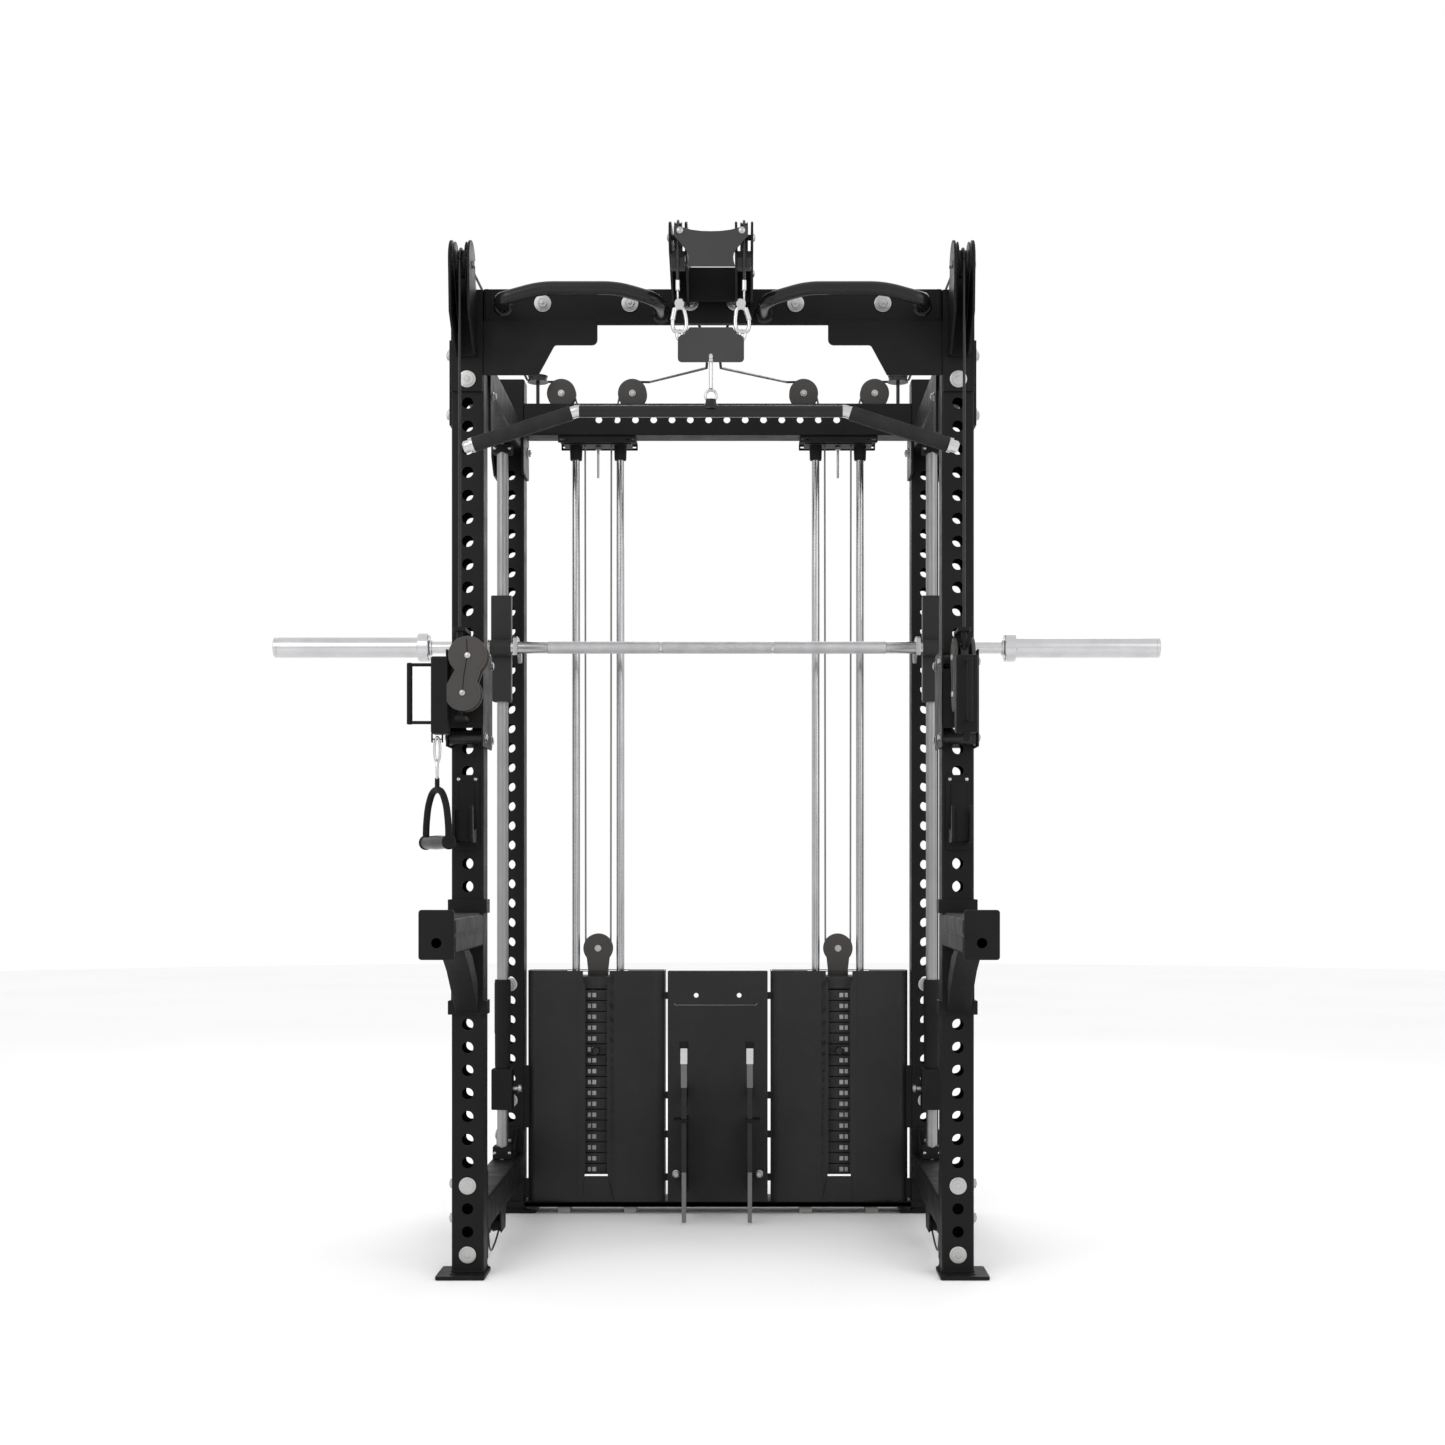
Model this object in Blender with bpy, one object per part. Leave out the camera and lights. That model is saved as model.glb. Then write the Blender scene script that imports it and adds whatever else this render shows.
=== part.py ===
"""Cable crossover rack: four perforated uprights, two weight stacks, a rail-guided bar and a lat station.

Metres, +Z up, +X to the right, -Y towards the user. The origin is on the floor at the middle of the
machine's footprint. Depths are stated from the front face of the front uprights and turned into Y by y_at().
"""
import math

import bmesh
import bpy
from mathutils import Matrix, Vector

# ---------------------------------------------------------------- driving dimensions
GAP = 0.0003                      # clearance between pieces that touch
TUBE = 0.070                      # outside width of the square tube
WALL = 0.003                      # its wall
PLATE = 0.006                     # thickness of brackets and gussets
UPRIGHT_X = 0.5325                # centre of each upright from the machine's middle plane
UPRIGHT_TOP = 2.143
REAR_DEPTH = 0.769                # front face of the rear uprights
FOOTPRINT_MIDDLE = 0.229          # depth of the machine's middle, which becomes Y = 0
HOLE_PITCH = 0.050
HOLE_RADIUS = 0.0125
FIRST_HOLE_Z = 0.096
LAST_HOLE_Z = 1.896
BOLTED_HOLES_Z = (0.196,)         # holes filled by a bolt

FOOT_THICKNESS = 0.008
FOOT_OVERHANG = 0.029
FOOT_INBOARD = {"front": 0.007, "rear": 0.030}
FOOT_TOE = 0.045

FRONT_BEAM_Z = (2.065, 2.1427)    # its face plate
FRONT_BEAM_TUBE_LOW = 2.086
REAR_BEAM_Z = (1.999, 2.081)
REAR_BEAM_WALL = 0.004
SIDE_BEAM_Z = (1.950, 2.020)
BASE_BEAM_Z = (0.086, 0.156)
FLOOR_STRIP_Z = (0.018, 0.0325)
INNER_X = UPRIGHT_X - TUBE / 2    # inner side of the uprights

STACK_X = 0.311
STACK_DEPTH = 0.824
ROD_OFFSET = 0.0575
ROD_RADIUS = 0.0105
STRAND_OFFSET = 0.034
PLATE_PITCH = 0.028
PLATE_COUNT = 17
LIFTED_COUNT = 6
STACK_BOTTOM = 0.098
STACK_TOP = STACK_BOTTOM + PLATE_PITCH * PLATE_COUNT
PIN_Z = STACK_TOP - PLATE_PITCH * (LIFTED_COUNT - 0.5)
STACK_WIDTH = 0.190
STACK_THICK = 0.090
STACK_PULLEY_Z = 0.679
SHROUD_TOP = 0.623
SHROUD_DEPTH = 0.7525             # front face of the shrouds and the centre panel
SHEET_WALL = 0.002

BEAM_PULLEY_X = (0.406, 0.222)
BEAM_PULLEY_Z = 2.117
CHEEK_OFFSET = 0.0105             # from the middle of a pulley to each plate beside it
CHEEK_PLATE = 0.004
BEAM_HOLES = 7                    # cable holes in each half of the rear crossbeam
BEAM_HOLE_PITCH = 0.047
PULLEY_RADIUS = 0.030
PULLEY_WIDTH = 0.016
CABLE_RADIUS = 0.003
CABLE_LINE = PULLEY_RADIUS + 0.0025
CORNER_GUIDE_X = 0.465
CORNER_GUIDE_SHIFT = 0.006 - CABLE_LINE
CORNER_GUIDE_Z = (2.142, 2.158)

RAIL_X = 0.538
RAIL_DEPTH = 0.654
RAIL_RADIUS = 0.014
RAIL_BLOCK = (0.024, 0.014, 0.024)      # half width, reach forward and reach back of a rail's end blocks
CARRIAGE_Z = (1.303, 1.567)
BAR_DEPTH = 0.613
BAR_Z = 1.435
BAR_RADIUS = 0.015
BAR_BORE = BAR_RADIUS + 0.0008
STOP_BLOCK_Z = (0.282, 0.384)
STOP_SLEEVE_Z = (0.382, 0.607)
SLEEVE_X = (0.714, 1.100)
SLEEVE_RADIUS = 0.025
COLLAR_RADIUS = 0.035
COLLAR_END_X = 0.7415
SHAFT_RINGS = ((0.565, 0.575), (0.7075, 0.7135))

TROLLEY_Z = (1.147, 1.356)
ROLLER_Z = (1.168, 1.333)
HEAD_DEPTH = -0.115
PIVOT_RADIUS = 0.0062
HEAD_UPPER = (0.0195, 1.333, 0.041)     # offset from the pivot, height, cover radius
HEAD_LOWER = (0.0085, 1.254, 0.038)
YOKE_Z = (1.168, 1.331)
HANDLE_PIVOT_Z = 1.158
TROLLEY_STRAND_LOW = 1.3945       # where the trolley takes its cable
TOP_PULLEY_Z = 2.170
TOP_PULLEY_DEPTH = HEAD_DEPTH + CABLE_LINE

LAT_LINE_DEPTH = -0.230
LAT_SHEAVE_X = 0.068
LAT_SHEAVE_Z = 2.190
LAT_SHEAVE_DEPTH = LAT_LINE_DEPTH + CABLE_LINE
LAT_STRAND_LOW = 2.051            # where the spring hooks take the lat cables
LAT_BAR_Z = 1.823

SIDES = {"left": -1, "right": 1}
WELD = 0.001                      # how far welded pieces reach into each other
OVERRUN = 0.010                   # how far a cutting tool reaches past the work


def y_at(depth):
    """Y of a point this far behind the front face of the front uprights."""
    return depth - FOOTPRINT_MIDDLE


# ---------------------------------------------------------------- scene and materials
def clear_scene():
    for obj in list(bpy.data.objects):
        bpy.data.objects.remove(obj, do_unlink=True)


def make_material(name, colour, roughness, metallic):
    material = bpy.data.materials.new(name)
    material.use_nodes = True
    shader = material.node_tree.nodes["Principled BSDF"]
    shader.inputs["Base Color"].default_value = (*colour, 1.0)
    shader.inputs["Roughness"].default_value = roughness
    shader.inputs["Metallic"].default_value = metallic
    return material


clear_scene()
PARTS = bpy.data.collections.new("cable_crossover_machine")
bpy.context.scene.collection.children.link(PARTS)
POWDER = make_material("black_powder_coat", (0.012, 0.012, 0.013), 0.55, 0.0)
SHEET = make_material("dark_grey_sheet", (0.035, 0.035, 0.036), 0.5, 0.0)
STEEL = make_material("bright_steel", (0.62, 0.62, 0.63), 0.25, 1.0)
IRON = make_material("cast_iron", (0.03, 0.03, 0.03), 0.6, 0.4)
RUBBER = make_material("black_rubber", (0.01, 0.01, 0.01), 0.8, 0.0)
NYLON = make_material("black_nylon", (0.02, 0.02, 0.02), 0.4, 0.0)


# ---------------------------------------------------------------- shape helpers
def new_object(bm):
    mesh = bpy.data.meshes.new("piece")
    bm.to_mesh(mesh)
    bm.free()
    obj = bpy.data.objects.new("piece", mesh)
    PARTS.objects.link(obj)
    return obj


def box(x, y, z):
    """A box between two corners, each axis given as (low, high)."""
    bm = bmesh.new()
    size = [max(pair) - min(pair) for pair in (x, y, z)]
    centre = [sum(pair) / 2 for pair in (x, y, z)]
    bmesh.ops.create_cube(bm, size=1.0, matrix=Matrix.Translation(centre) @ Matrix.Diagonal((*size, 1)))
    return new_object(bm)


def rod(start, end, radius, sides=12):
    """A round bar between two points."""
    start, end = Vector(start), Vector(end)
    along = end - start
    turn = Vector((0, 0, 1)).rotation_difference(along).to_matrix().to_4x4()
    place = Matrix.Translation((start + end) / 2) @ turn
    bm = bmesh.new()
    bmesh.ops.create_cone(bm, cap_ends=True, segments=sides, radius1=radius, radius2=radius,
                          depth=along.length, matrix=place)
    return new_object(bm)


def to_mesh(curve_object):
    """The curve object's evaluated shape as a closed mesh object."""
    depsgraph = bpy.context.evaluated_depsgraph_get()
    mesh = bpy.data.meshes.new_from_object(curve_object.evaluated_get(depsgraph))
    bm = bmesh.new()
    bm.from_mesh(mesh)
    bmesh.ops.remove_doubles(bm, verts=bm.verts, dist=1e-5)
    bmesh.ops.recalc_face_normals(bm, faces=bm.faces)
    bpy.data.meshes.remove(mesh)
    obj = new_object(bm)
    obj.matrix_world = curve_object.matrix_world
    bpy.data.objects.remove(curve_object, do_unlink=True)
    return obj


def tube(points, radius, resolution=2):
    """A bent bar along the points."""
    data = bpy.data.curves.new("path", "CURVE")
    data.dimensions = "3D"
    data.bevel_depth = radius
    data.bevel_resolution = resolution
    data.use_fill_caps = True
    spline = data.splines.new("POLY")
    spline.points.add(len(points) - 1)
    for point, place in zip(spline.points, points):
        point.co = (*place, 1.0)
    obj = bpy.data.objects.new("path", data)
    PARTS.objects.link(obj)
    return to_mesh(obj)


def sheet(outline, thickness, place):
    """A flat plate: an outline in its own XY plane, its middle plane put where the matrix says."""
    data = bpy.data.curves.new("outline", "CURVE")
    data.dimensions = "2D"
    data.fill_mode = "BOTH"
    data.extrude = thickness / 2
    spline = data.splines.new("POLY")
    spline.points.add(len(outline) - 1)
    for point, (u, v) in zip(spline.points, outline):
        point.co = (u, v, 0.0, 1.0)
    spline.use_cyclic_u = True
    obj = bpy.data.objects.new("outline", data)
    obj.matrix_world = place
    PARTS.objects.link(obj)
    bpy.context.view_layer.update()
    return to_mesh(obj)


def facing_front(y):
    """Placement for a plate whose outline is (X, Z), standing at this Y."""
    return Matrix.Translation((0, y, 0)) @ Matrix.Rotation(math.radians(90), 4, "X")


def facing_side(x):
    """Placement for a plate whose outline is (Y, Z), standing at this X."""
    return Matrix(((0, 0, 1, x), (1, 0, 0, 0), (0, 1, 0, 0), (0, 0, 0, 1)))


def arc(centre, radius, start, end, steps):
    """Points round part of a circle, angles in degrees."""
    points = []
    for step in range(steps + 1):
        angle = math.radians(start + (end - start) * step / steps)
        points.append((centre[0] + radius * math.cos(angle), centre[1] + radius * math.sin(angle)))
    return points


def turned(profile, axis_point, axis, sides=16):
    """A round piece: (radius, station) pairs, from one face to the other, turned about an axis."""
    bm = bmesh.new()
    ring = [bm.verts.new((radius, 0, station)) for radius, station in profile]
    for low, high in zip(ring, ring[1:]):
        bm.edges.new((low, high))
    bm.edges.new((ring[-1], ring[0]))
    bmesh.ops.spin(bm, geom=bm.verts[:] + bm.edges[:], cent=(0, 0, 0), axis=(0, 0, 1), dvec=(0, 0, 0),
                   angle=2 * math.pi, steps=sides, use_merge=True)
    bmesh.ops.remove_doubles(bm, verts=bm.verts, dist=1e-6)
    bmesh.ops.recalc_face_normals(bm, faces=bm.faces)
    turn = Vector((0, 0, 1)).rotation_difference(Vector(axis)).to_matrix().to_4x4()
    bmesh.ops.transform(bm, matrix=Matrix.Translation(axis_point) @ turn, verts=bm.verts)
    return new_object(bm)


def combine(base, pieces, operation="UNION"):
    """Join the pieces to the base, or cut them from it, and leave one plain mesh."""
    for piece in pieces:
        modifier = base.modifiers.new("combine", "BOOLEAN")
        modifier.solver = "EXACT"
        modifier.operation = operation
        modifier.object = piece
        if operation == "DIFFERENCE":
            modifier.use_self = len(pieces) == 1
    bpy.context.view_layer.update()
    depsgraph = bpy.context.evaluated_depsgraph_get()
    mesh = bpy.data.meshes.new_from_object(base.evaluated_get(depsgraph))
    base.modifiers.clear()
    base.data = mesh
    for piece in pieces:
        bpy.data.objects.remove(piece, do_unlink=True)
    return base


def cut(base, pieces):
    return combine(base, pieces, "DIFFERENCE")


def drill(base, tools):
    """Cut many separate tools from the base in one step."""
    merged = bmesh.new()
    for tool in tools:
        merged.from_mesh(tool.data)
        bpy.data.objects.remove(tool, do_unlink=True)
    return cut(base, [new_object(merged)])


def finish(obj, name, material, origin=None):
    """Name the piece, give it its material, and put its origin where it turns or slides."""
    obj.name = name
    obj.data.name = name
    obj.data.materials.clear()
    obj.data.materials.append(material)
    bm = bmesh.new()
    bm.from_mesh(obj.data)
    bmesh.ops.transform(bm, matrix=obj.matrix_world, verts=bm.verts)
    bmesh.ops.dissolve_limit(bm, angle_limit=math.radians(0.5), verts=bm.verts, edges=bm.edges)
    bmesh.ops.triangulate(bm, faces=bm.faces)
    place = Matrix.Translation(origin if origin else (0, 0, 0))
    bmesh.ops.transform(bm, matrix=place.inverted(), verts=bm.verts)
    bm.to_mesh(obj.data)
    bm.free()
    obj.data.shade_smooth()
    obj.data.set_sharp_from_angle(angle=math.radians(35))
    obj.matrix_world = place
    return obj


def square_tube(x, y, z, along):
    """A hollow square tube, open at both ends along the named axis."""
    outer = box(x, y, z)
    inner = []
    for name, (low, high) in zip("xyz", (x, y, z)):
        inner.append((low - OVERRUN, high + OVERRUN) if name == along else (low + WALL, high - WALL))
    return cut(outer, [box(*inner)])


# ---------------------------------------------------------------- frame
def hole_heights():
    count = round((LAST_HOLE_Z - FIRST_HOLE_Z) / HOLE_PITCH) + 1
    heights = [FIRST_HOLE_Z + HOLE_PITCH * step for step in range(count)]
    return [z for z in heights if all(abs(z - bolted) > 0.01 for bolted in BOLTED_HOLES_Z)]


def upright(row, label, side):
    """A perforated post on its welded foot plate, in the front or the rear row."""
    x = side * UPRIGHT_X
    half = TUBE / 2
    depth = 0.0 if row == "front" else REAR_DEPTH
    low, high = y_at(depth), y_at(depth + TUBE)
    post = box((x - half, x + half), (low, high), (FOOT_THICKNESS - WELD, UPRIGHT_TOP))
    ends = sorted((x + side * (half + FOOT_OVERHANG), x - side * (half + FOOT_INBOARD[row])))
    toes = (low - FOOT_TOE, high) if row == "front" else (low, high + FOOT_TOE)
    post = combine(post, [box(ends, toes, (0, FOOT_THICKNESS))])
    tools = [rod((x, low - OVERRUN, z), (x, high + OVERRUN, z), HOLE_RADIUS, 6) for z in hole_heights()]
    finish(drill(post, tools), f"upright_{row}_{label}", POWDER)


def gusset_outline(side):
    """Stepped plate that laps the upright and stiffens the corner under the front crossbeam."""
    right = [
        (UPRIGHT_X + TUBE / 2, 1.920), (UPRIGHT_X + TUBE / 2, 2.115), (INNER_X, 2.115), (INNER_X, 2.073),
        (0.250, 2.073), *arc((0.262, 2.032), 0.012, 180, 270, 2), (0.342, 2.020), (0.378, 1.955),
        (INNER_X, 1.955), (INNER_X, 1.920),
    ]
    return [(side * x, z) for x, z in right]


def top_pulley_cheeks(side):
    """Two plates and a web that carry the top pulley in front of the upright, with its axle."""
    front, back = TOP_PULLEY_DEPTH - 0.048, -GAP - PLATE / 2
    outline = [(y_at(back), 1.994), (y_at(back), 2.110)]
    outline += arc((y_at(TOP_PULLEY_DEPTH), TOP_PULLEY_Z), 0.050, 20, 180, 5)
    outline += [(y_at(front + 0.006), 2.060), (y_at(-0.040), 1.994)]
    axle_x = side * UPRIGHT_X
    pieces = [box((axle_x - 0.0185, axle_x + 0.0185), (y_at(-0.0123), y_at(-PLATE)), (1.994, 2.180))]
    for offset in (-0.020, 0.020):
        pieces.append(sheet(outline, 0.005, facing_side(axle_x + offset)))
    place = (y_at(TOP_PULLEY_DEPTH), TOP_PULLEY_Z)
    pieces.append(rod((axle_x - 0.025, *place), (axle_x + 0.025, *place), 0.006, 8))
    return pieces


def pull_up_handle(side):
    """A bent grip tube welded to the crossbeam's front face at both ends."""
    points = [
        (0.455, 0.004, 2.104), (0.4545, -0.060, 2.100), (0.4440, -0.100, 2.0930), (0.3644, -0.100, 2.1150),
        (0.2002, -0.100, 2.1150), (0.1290, -0.100, 2.0940), (0.1129, -0.085, 2.0900), (0.1110, 0.004, 2.0880),
    ]
    return tube([(side * x, y_at(depth), z) for x, depth, z in points], 0.0145, 1)


def front_crossbeam():
    """Crossbeam between the front uprights with its gussets, grips and top pulley cheeks welded on."""
    span = INNER_X - GAP
    face = box((-span, span), (y_at(-0.002), y_at(PLATE)), FRONT_BEAM_Z)
    tube_z = (FRONT_BEAM_TUBE_LOW, FRONT_BEAM_Z[1])
    pieces = [box((-span, span), (y_at(PLATE - WELD), y_at(TUBE + 0.002)), tube_z)]
    for side in SIDES.values():
        pieces.append(sheet(gusset_outline(side), PLATE, facing_front(y_at(-GAP - PLATE / 2))))
        pieces.append(pull_up_handle(side))
        pieces += top_pulley_cheeks(side)
    finish(combine(face, pieces), "front_crossbeam", POWDER)


def rear_crossbeam():
    """Drilled rear channel, open at the back, with four pulley brackets and two fixed corner guides."""
    span = INNER_X - GAP
    beam_low, beam_top = REAR_BEAM_Z
    beam = box((-span, span), (y_at(REAR_DEPTH), y_at(REAR_DEPTH + TUBE)), REAR_BEAM_Z)
    trough_x = (0.010 - span, span - 0.010)
    trough_y = (y_at(REAR_DEPTH + REAR_BEAM_WALL), y_at(REAR_DEPTH + TUBE + OVERRUN))
    beam = cut(beam, [box(trough_x, trough_y, (beam_low + REAR_BEAM_WALL, beam_top - REAR_BEAM_WALL))])
    pieces = []
    middle = y_at(STACK_DEPTH)
    for side in SIDES.values():
        for x in BEAM_PULLEY_X:
            outline = arc((side * x, BEAM_PULLEY_Z), 0.036, -20, 200, 5)
            outline += [(side * x - 0.020, beam_top - 2 * WELD), (side * x + 0.020, beam_top - 2 * WELD)]
            for offset in (-CHEEK_OFFSET, CHEEK_OFFSET):
                pieces.append(sheet(outline, CHEEK_PLATE, facing_front(middle + offset)))
            axle = [(side * x, middle + reach, BEAM_PULLEY_Z) for reach in (-0.0120, 0.0120)]
            pieces.append(rod(*axle, 0.005, 6))
        corner = (side * CORNER_GUIDE_X, middle + CORNER_GUIDE_SHIFT)
        guide_low, guide_high = CORNER_GUIDE_Z
        pieces.append(rod((*corner, beam_top - 2 * WELD), (*corner, guide_high), 0.0045, 8))
        pieces.append(rod((*corner, guide_low), (*corner, guide_high), PULLEY_RADIUS - 0.006, 10))
    beam = combine(beam, pieces)
    tools = []
    slot_z = (1.980, beam_top + 2 * WELD)
    ends = (y_at(REAR_DEPTH - 2 * OVERRUN), y_at(REAR_DEPTH + TUBE + 2 * OVERRUN))
    for side in SIDES.values():
        for step in range(BEAM_HOLES):
            x = side * BEAM_HOLE_PITCH * (step + 0.5)
            tools.append(rod((x, ends[0], 2.038), (x, ends[1], 2.038), 0.0085, 6))
        for offset in (-0.046, 0.046):
            x = side * STACK_X + offset
            tools.append(box((x - 0.020, x + 0.020), (middle - 0.007, middle + 0.007), slot_z))
    finish(drill(beam, tools), "rear_crossbeam", POWDER)


def top_side_beam(name, side):
    """Tube between the front and rear upright, with ears that lap the uprights' sides."""
    x = side * UPRIGHT_X
    half = TUBE / 2
    ends = (y_at(TUBE + GAP), y_at(REAR_DEPTH - GAP))
    beam = square_tube((x - half, x + half), ends, SIDE_BEAM_Z, "y")
    ears = []
    for face in (-1, 1):
        span = sorted((x + face * (half + GAP), x + face * (half + GAP + PLATE)))
        weld = sorted((x + face * (half - WELD), x + face * (half + GAP + PLATE)))
        outside = face == side
        front_low = 0.012 if outside else TUBE + 4 * GAP
        rear_top = 2.130 if outside else REAR_BEAM_Z[0] - GAP
        ears.append(box(span, (y_at(front_low), y_at(0.130)), (1.850, 2.035)))
        ears.append(box(span, (y_at(0.705), y_at(0.830)), (1.890, rear_top)))
        ears.append(box(weld, (y_at(0.080), y_at(0.128)), (1.955, 2.015)))
        ears.append(box(weld, (y_at(0.707), y_at(0.765)), (1.955, 2.015)))
    finish(combine(beam, ears), name, POWDER)


def base_frame():
    """Welded floor frame: two side tubes with bolt flanges, and a low strip on feet under the stacks."""
    half = TUBE / 2
    low, high = FLOOR_STRIP_Z
    strip = box((-INNER_X + GAP, INNER_X - GAP), (y_at(0.756), y_at(0.873)), (low, high))
    tie_depth = (y_at(0.756), y_at(REAR_DEPTH - 2 * GAP))
    pieces = [box((-UPRIGHT_X, UPRIGHT_X), tie_depth, (low + WELD, high - WELD))]
    drains = []
    for side in SIDES.values():
        x = side * UPRIGHT_X
        ends = (y_at(TUBE + GAP), y_at(REAR_DEPTH - GAP))
        pieces.append(square_tube((x - half, x + half), ends, BASE_BEAM_Z, "y"))
        for depth in (TUBE + GAP, REAR_DEPTH - GAP - 0.008):
            pieces.append(box((x - half, x + half), (y_at(depth), y_at(depth + 0.008)), (low, 0.222)))
        for foot in (-0.085, 0.085):
            middle = side * STACK_X + foot
            pieces.append(box((middle - 0.016, middle + 0.016), (y_at(0.775), y_at(0.860)), (0, low + WELD)))
        drains.append(rod((x, y_at(0.40), 0.08), (x, y_at(0.40), 0.12), 0.008, 8))
    finish(cut(combine(strip, pieces), drains), "base_frame", POWDER)


# ---------------------------------------------------------------- weight stacks
def guide_frame(name, side):
    """Two guide rods between a top bracket and a floor plate, with the rubber bumpers under the plates."""
    x = side * STACK_X
    middle = y_at(STACK_DEPTH)
    bracket = box((x - 0.100, x + 0.100), (y_at(0.775), y_at(0.873)), (1.981, REAR_BEAM_Z[0] - GAP))
    pieces = [box((x - 0.110, x + 0.110), (y_at(0.775), y_at(0.873)), (FLOOR_STRIP_Z[1] + GAP, 0.045))]
    for offset in (-ROD_OFFSET, ROD_OFFSET):
        place = (x + offset, middle)
        pieces.append(rod((*place, 0.040), (*place, 1.985), ROD_RADIUS, 12))
        pieces.append(rod((*place, 1.945), (*place, 1.983), 0.0155, 12))
        pieces.append(rod((*place, 0.044), (*place, STACK_BOTTOM - GAP), 0.019, 12))
    pieces.append(rod((x, middle, 1.899), (x, middle, 1.985), 0.0035, 8))
    frame = combine(bracket, pieces)
    slots = [
        box((x + offset - 0.007, x + offset + 0.007), (middle - 0.007, middle + 0.007), (1.97, 2.01))
        for offset in (-STRAND_OFFSET, STRAND_OFFSET)
    ]
    finish(cut(frame, slots), name, STEEL)


def plate_block(side, low, high):
    """Plates lying on each other, bored for the guide rods and the selector rod."""
    x = side * STACK_X
    middle = y_at(STACK_DEPTH)
    half = STACK_THICK / 2
    block = box((x - STACK_WIDTH / 2, x + STACK_WIDTH / 2), (middle - half, middle + half), (low, high))
    bores = [
        rod((x + offset, middle, low - OVERRUN), (x + offset, middle, high + OVERRUN), ROD_RADIUS + 0.003, 10)
        for offset in (-ROD_OFFSET, ROD_OFFSET)
    ]
    return block, bores


def resting_plates(name, side):
    block, bores = plate_block(side, STACK_BOTTOM, STACK_TOP - PLATE_PITCH * LIFTED_COUNT - GAP)
    x, middle = side * STACK_X, y_at(STACK_DEPTH)
    bores.append(rod((x, middle, STACK_BOTTOM - OVERRUN), (x, middle, 0.5), 0.0105, 10))
    finish(cut(block, bores), name, IRON)


def lifted_plates(name, side):
    """The selected plates with the head plate, selector rod and pulley fork that lift them."""
    x, middle = side * STACK_X, y_at(STACK_DEPTH)
    block, bores = plate_block(side, STACK_TOP - PLATE_PITCH * LIFTED_COUNT, STACK_TOP + 0.036)
    bores.append(rod((x, middle - 0.06, PIN_Z), (x, middle - 0.012, PIN_Z), 0.0056, 8))
    block = cut(block, bores)
    pieces = [rod((x, middle, STACK_BOTTOM + 0.010), (x, middle, STACK_TOP - 0.020), 0.0085, 8)]
    for offset in (-CHEEK_OFFSET, CHEEK_OFFSET):
        outline = arc((x, STACK_PULLEY_Z), 0.038, -30, 210, 7)
        outline += [(x - 0.024, STACK_TOP + 0.030), (x + 0.024, STACK_TOP + 0.030)]
        pieces.append(sheet(outline, CHEEK_PLATE, facing_front(middle + offset)))
    pieces.append(rod((x, middle - 0.0125, STACK_PULLEY_Z), (x, middle + 0.0125, STACK_PULLEY_Z), 0.005, 8))
    finish(combine(block, pieces), name, IRON)


def selector_pin(name, side):
    x, middle = side * STACK_X, y_at(STACK_DEPTH)
    front = middle - STACK_THICK / 2
    pin = rod((x, front - 0.012, PIN_Z), (x, front + 0.030, PIN_Z), 0.0050, 8)
    knob = rod((x, front - 0.040, PIN_Z), (x, front - 0.010, PIN_Z), 0.0110, 12)
    finish(combine(pin, [knob]), name, RUBBER, (x, front, PIN_Z))


def shroud(name, side):
    """Folded sheet round one stack: outer wing, slotted face and inner wing."""
    front, back = SHROUD_DEPTH, SHROUD_DEPTH + SHEET_WALL
    outline = [
        (0.489, 0.845), (0.489, 0.790), (0.466, 0.768), (0.345, front), (0.160, front), (0.136, 0.768),
        (0.136, 0.845),
    ]
    inner = [
        (0.139, 0.845), (0.139, 0.770), (0.1612, back), (0.345, back), (0.465, 0.770), (0.486, 0.7911),
        (0.486, 0.845),
    ]
    loop = [(side * x, y_at(depth)) for x, depth in outline + inner]
    height = SHROUD_TOP - FLOOR_STRIP_Z[1] - GAP
    place = Matrix.Translation((0, 0, SHROUD_TOP - height / 2))
    wall = sheet(loop, height, place)
    low, high = STACK_X - 0.0275, STACK_X + 0.0275
    slot = [
        (low, 0.115), (high, 0.115), (high, 0.600), (high + 0.014, 0.640), (low - 0.014, 0.640), (low, 0.600),
    ]
    tool = sheet([(side * x, z) for x, z in slot], 0.080, facing_front(y_at(front - 0.019)))
    finish(cut(wall, [tool]), name, SHEET)


def centre_panel():
    """Flat panel between the shrouds, with two hooked brackets that reach the floor."""
    low = FLOOR_STRIP_Z[1] + GAP
    panel = box((-0.130, 0.130), (y_at(SHROUD_DEPTH), y_at(SHROUD_DEPTH + SHEET_WALL)), (low, SHROUD_TOP))
    ties = [box((-0.130, 0.130), (y_at(0.753), y_at(0.800)), (z, z + 0.003)) for z in (low, 0.600)]
    panel = combine(panel, ties)
    eyes = [rod((x, y_at(0.74), 0.561), (x, y_at(0.77), 0.561), 0.006, 8) for x in (-0.055, 0.055)]
    panel = cut(panel, eyes)
    outline = [
        (0.7530, 0.300), (0.6500, 0.255), (0.6420, 0.120), (0.6200, 0.0), (0.6080, 0.0), (0.6000, 0.230),
        (0.6200, 0.290), (0.5950, 0.380), (0.5980, 0.445), (0.6200, 0.455), (0.6400, 0.430), (0.6400, 0.330),
        (0.7530, 0.340),
    ]
    outline = [(y_at(depth), z) for depth, z in outline]
    hooks = [sheet(outline, 0.018, facing_side(side * 0.082)) for side in SIDES.values()]
    finish(combine(panel, hooks), "centre_panel", SHEET)


# ---------------------------------------------------------------- pulleys and cables
def grooved_profile(radius, width, bore):
    half = width / 2
    return [
        (bore, -half), (radius + 0.001, -half), (radius - 0.002, -half * 0.4),
        (radius - 0.002, half * 0.4), (radius + 0.001, half), (bore, half),
    ]


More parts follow.
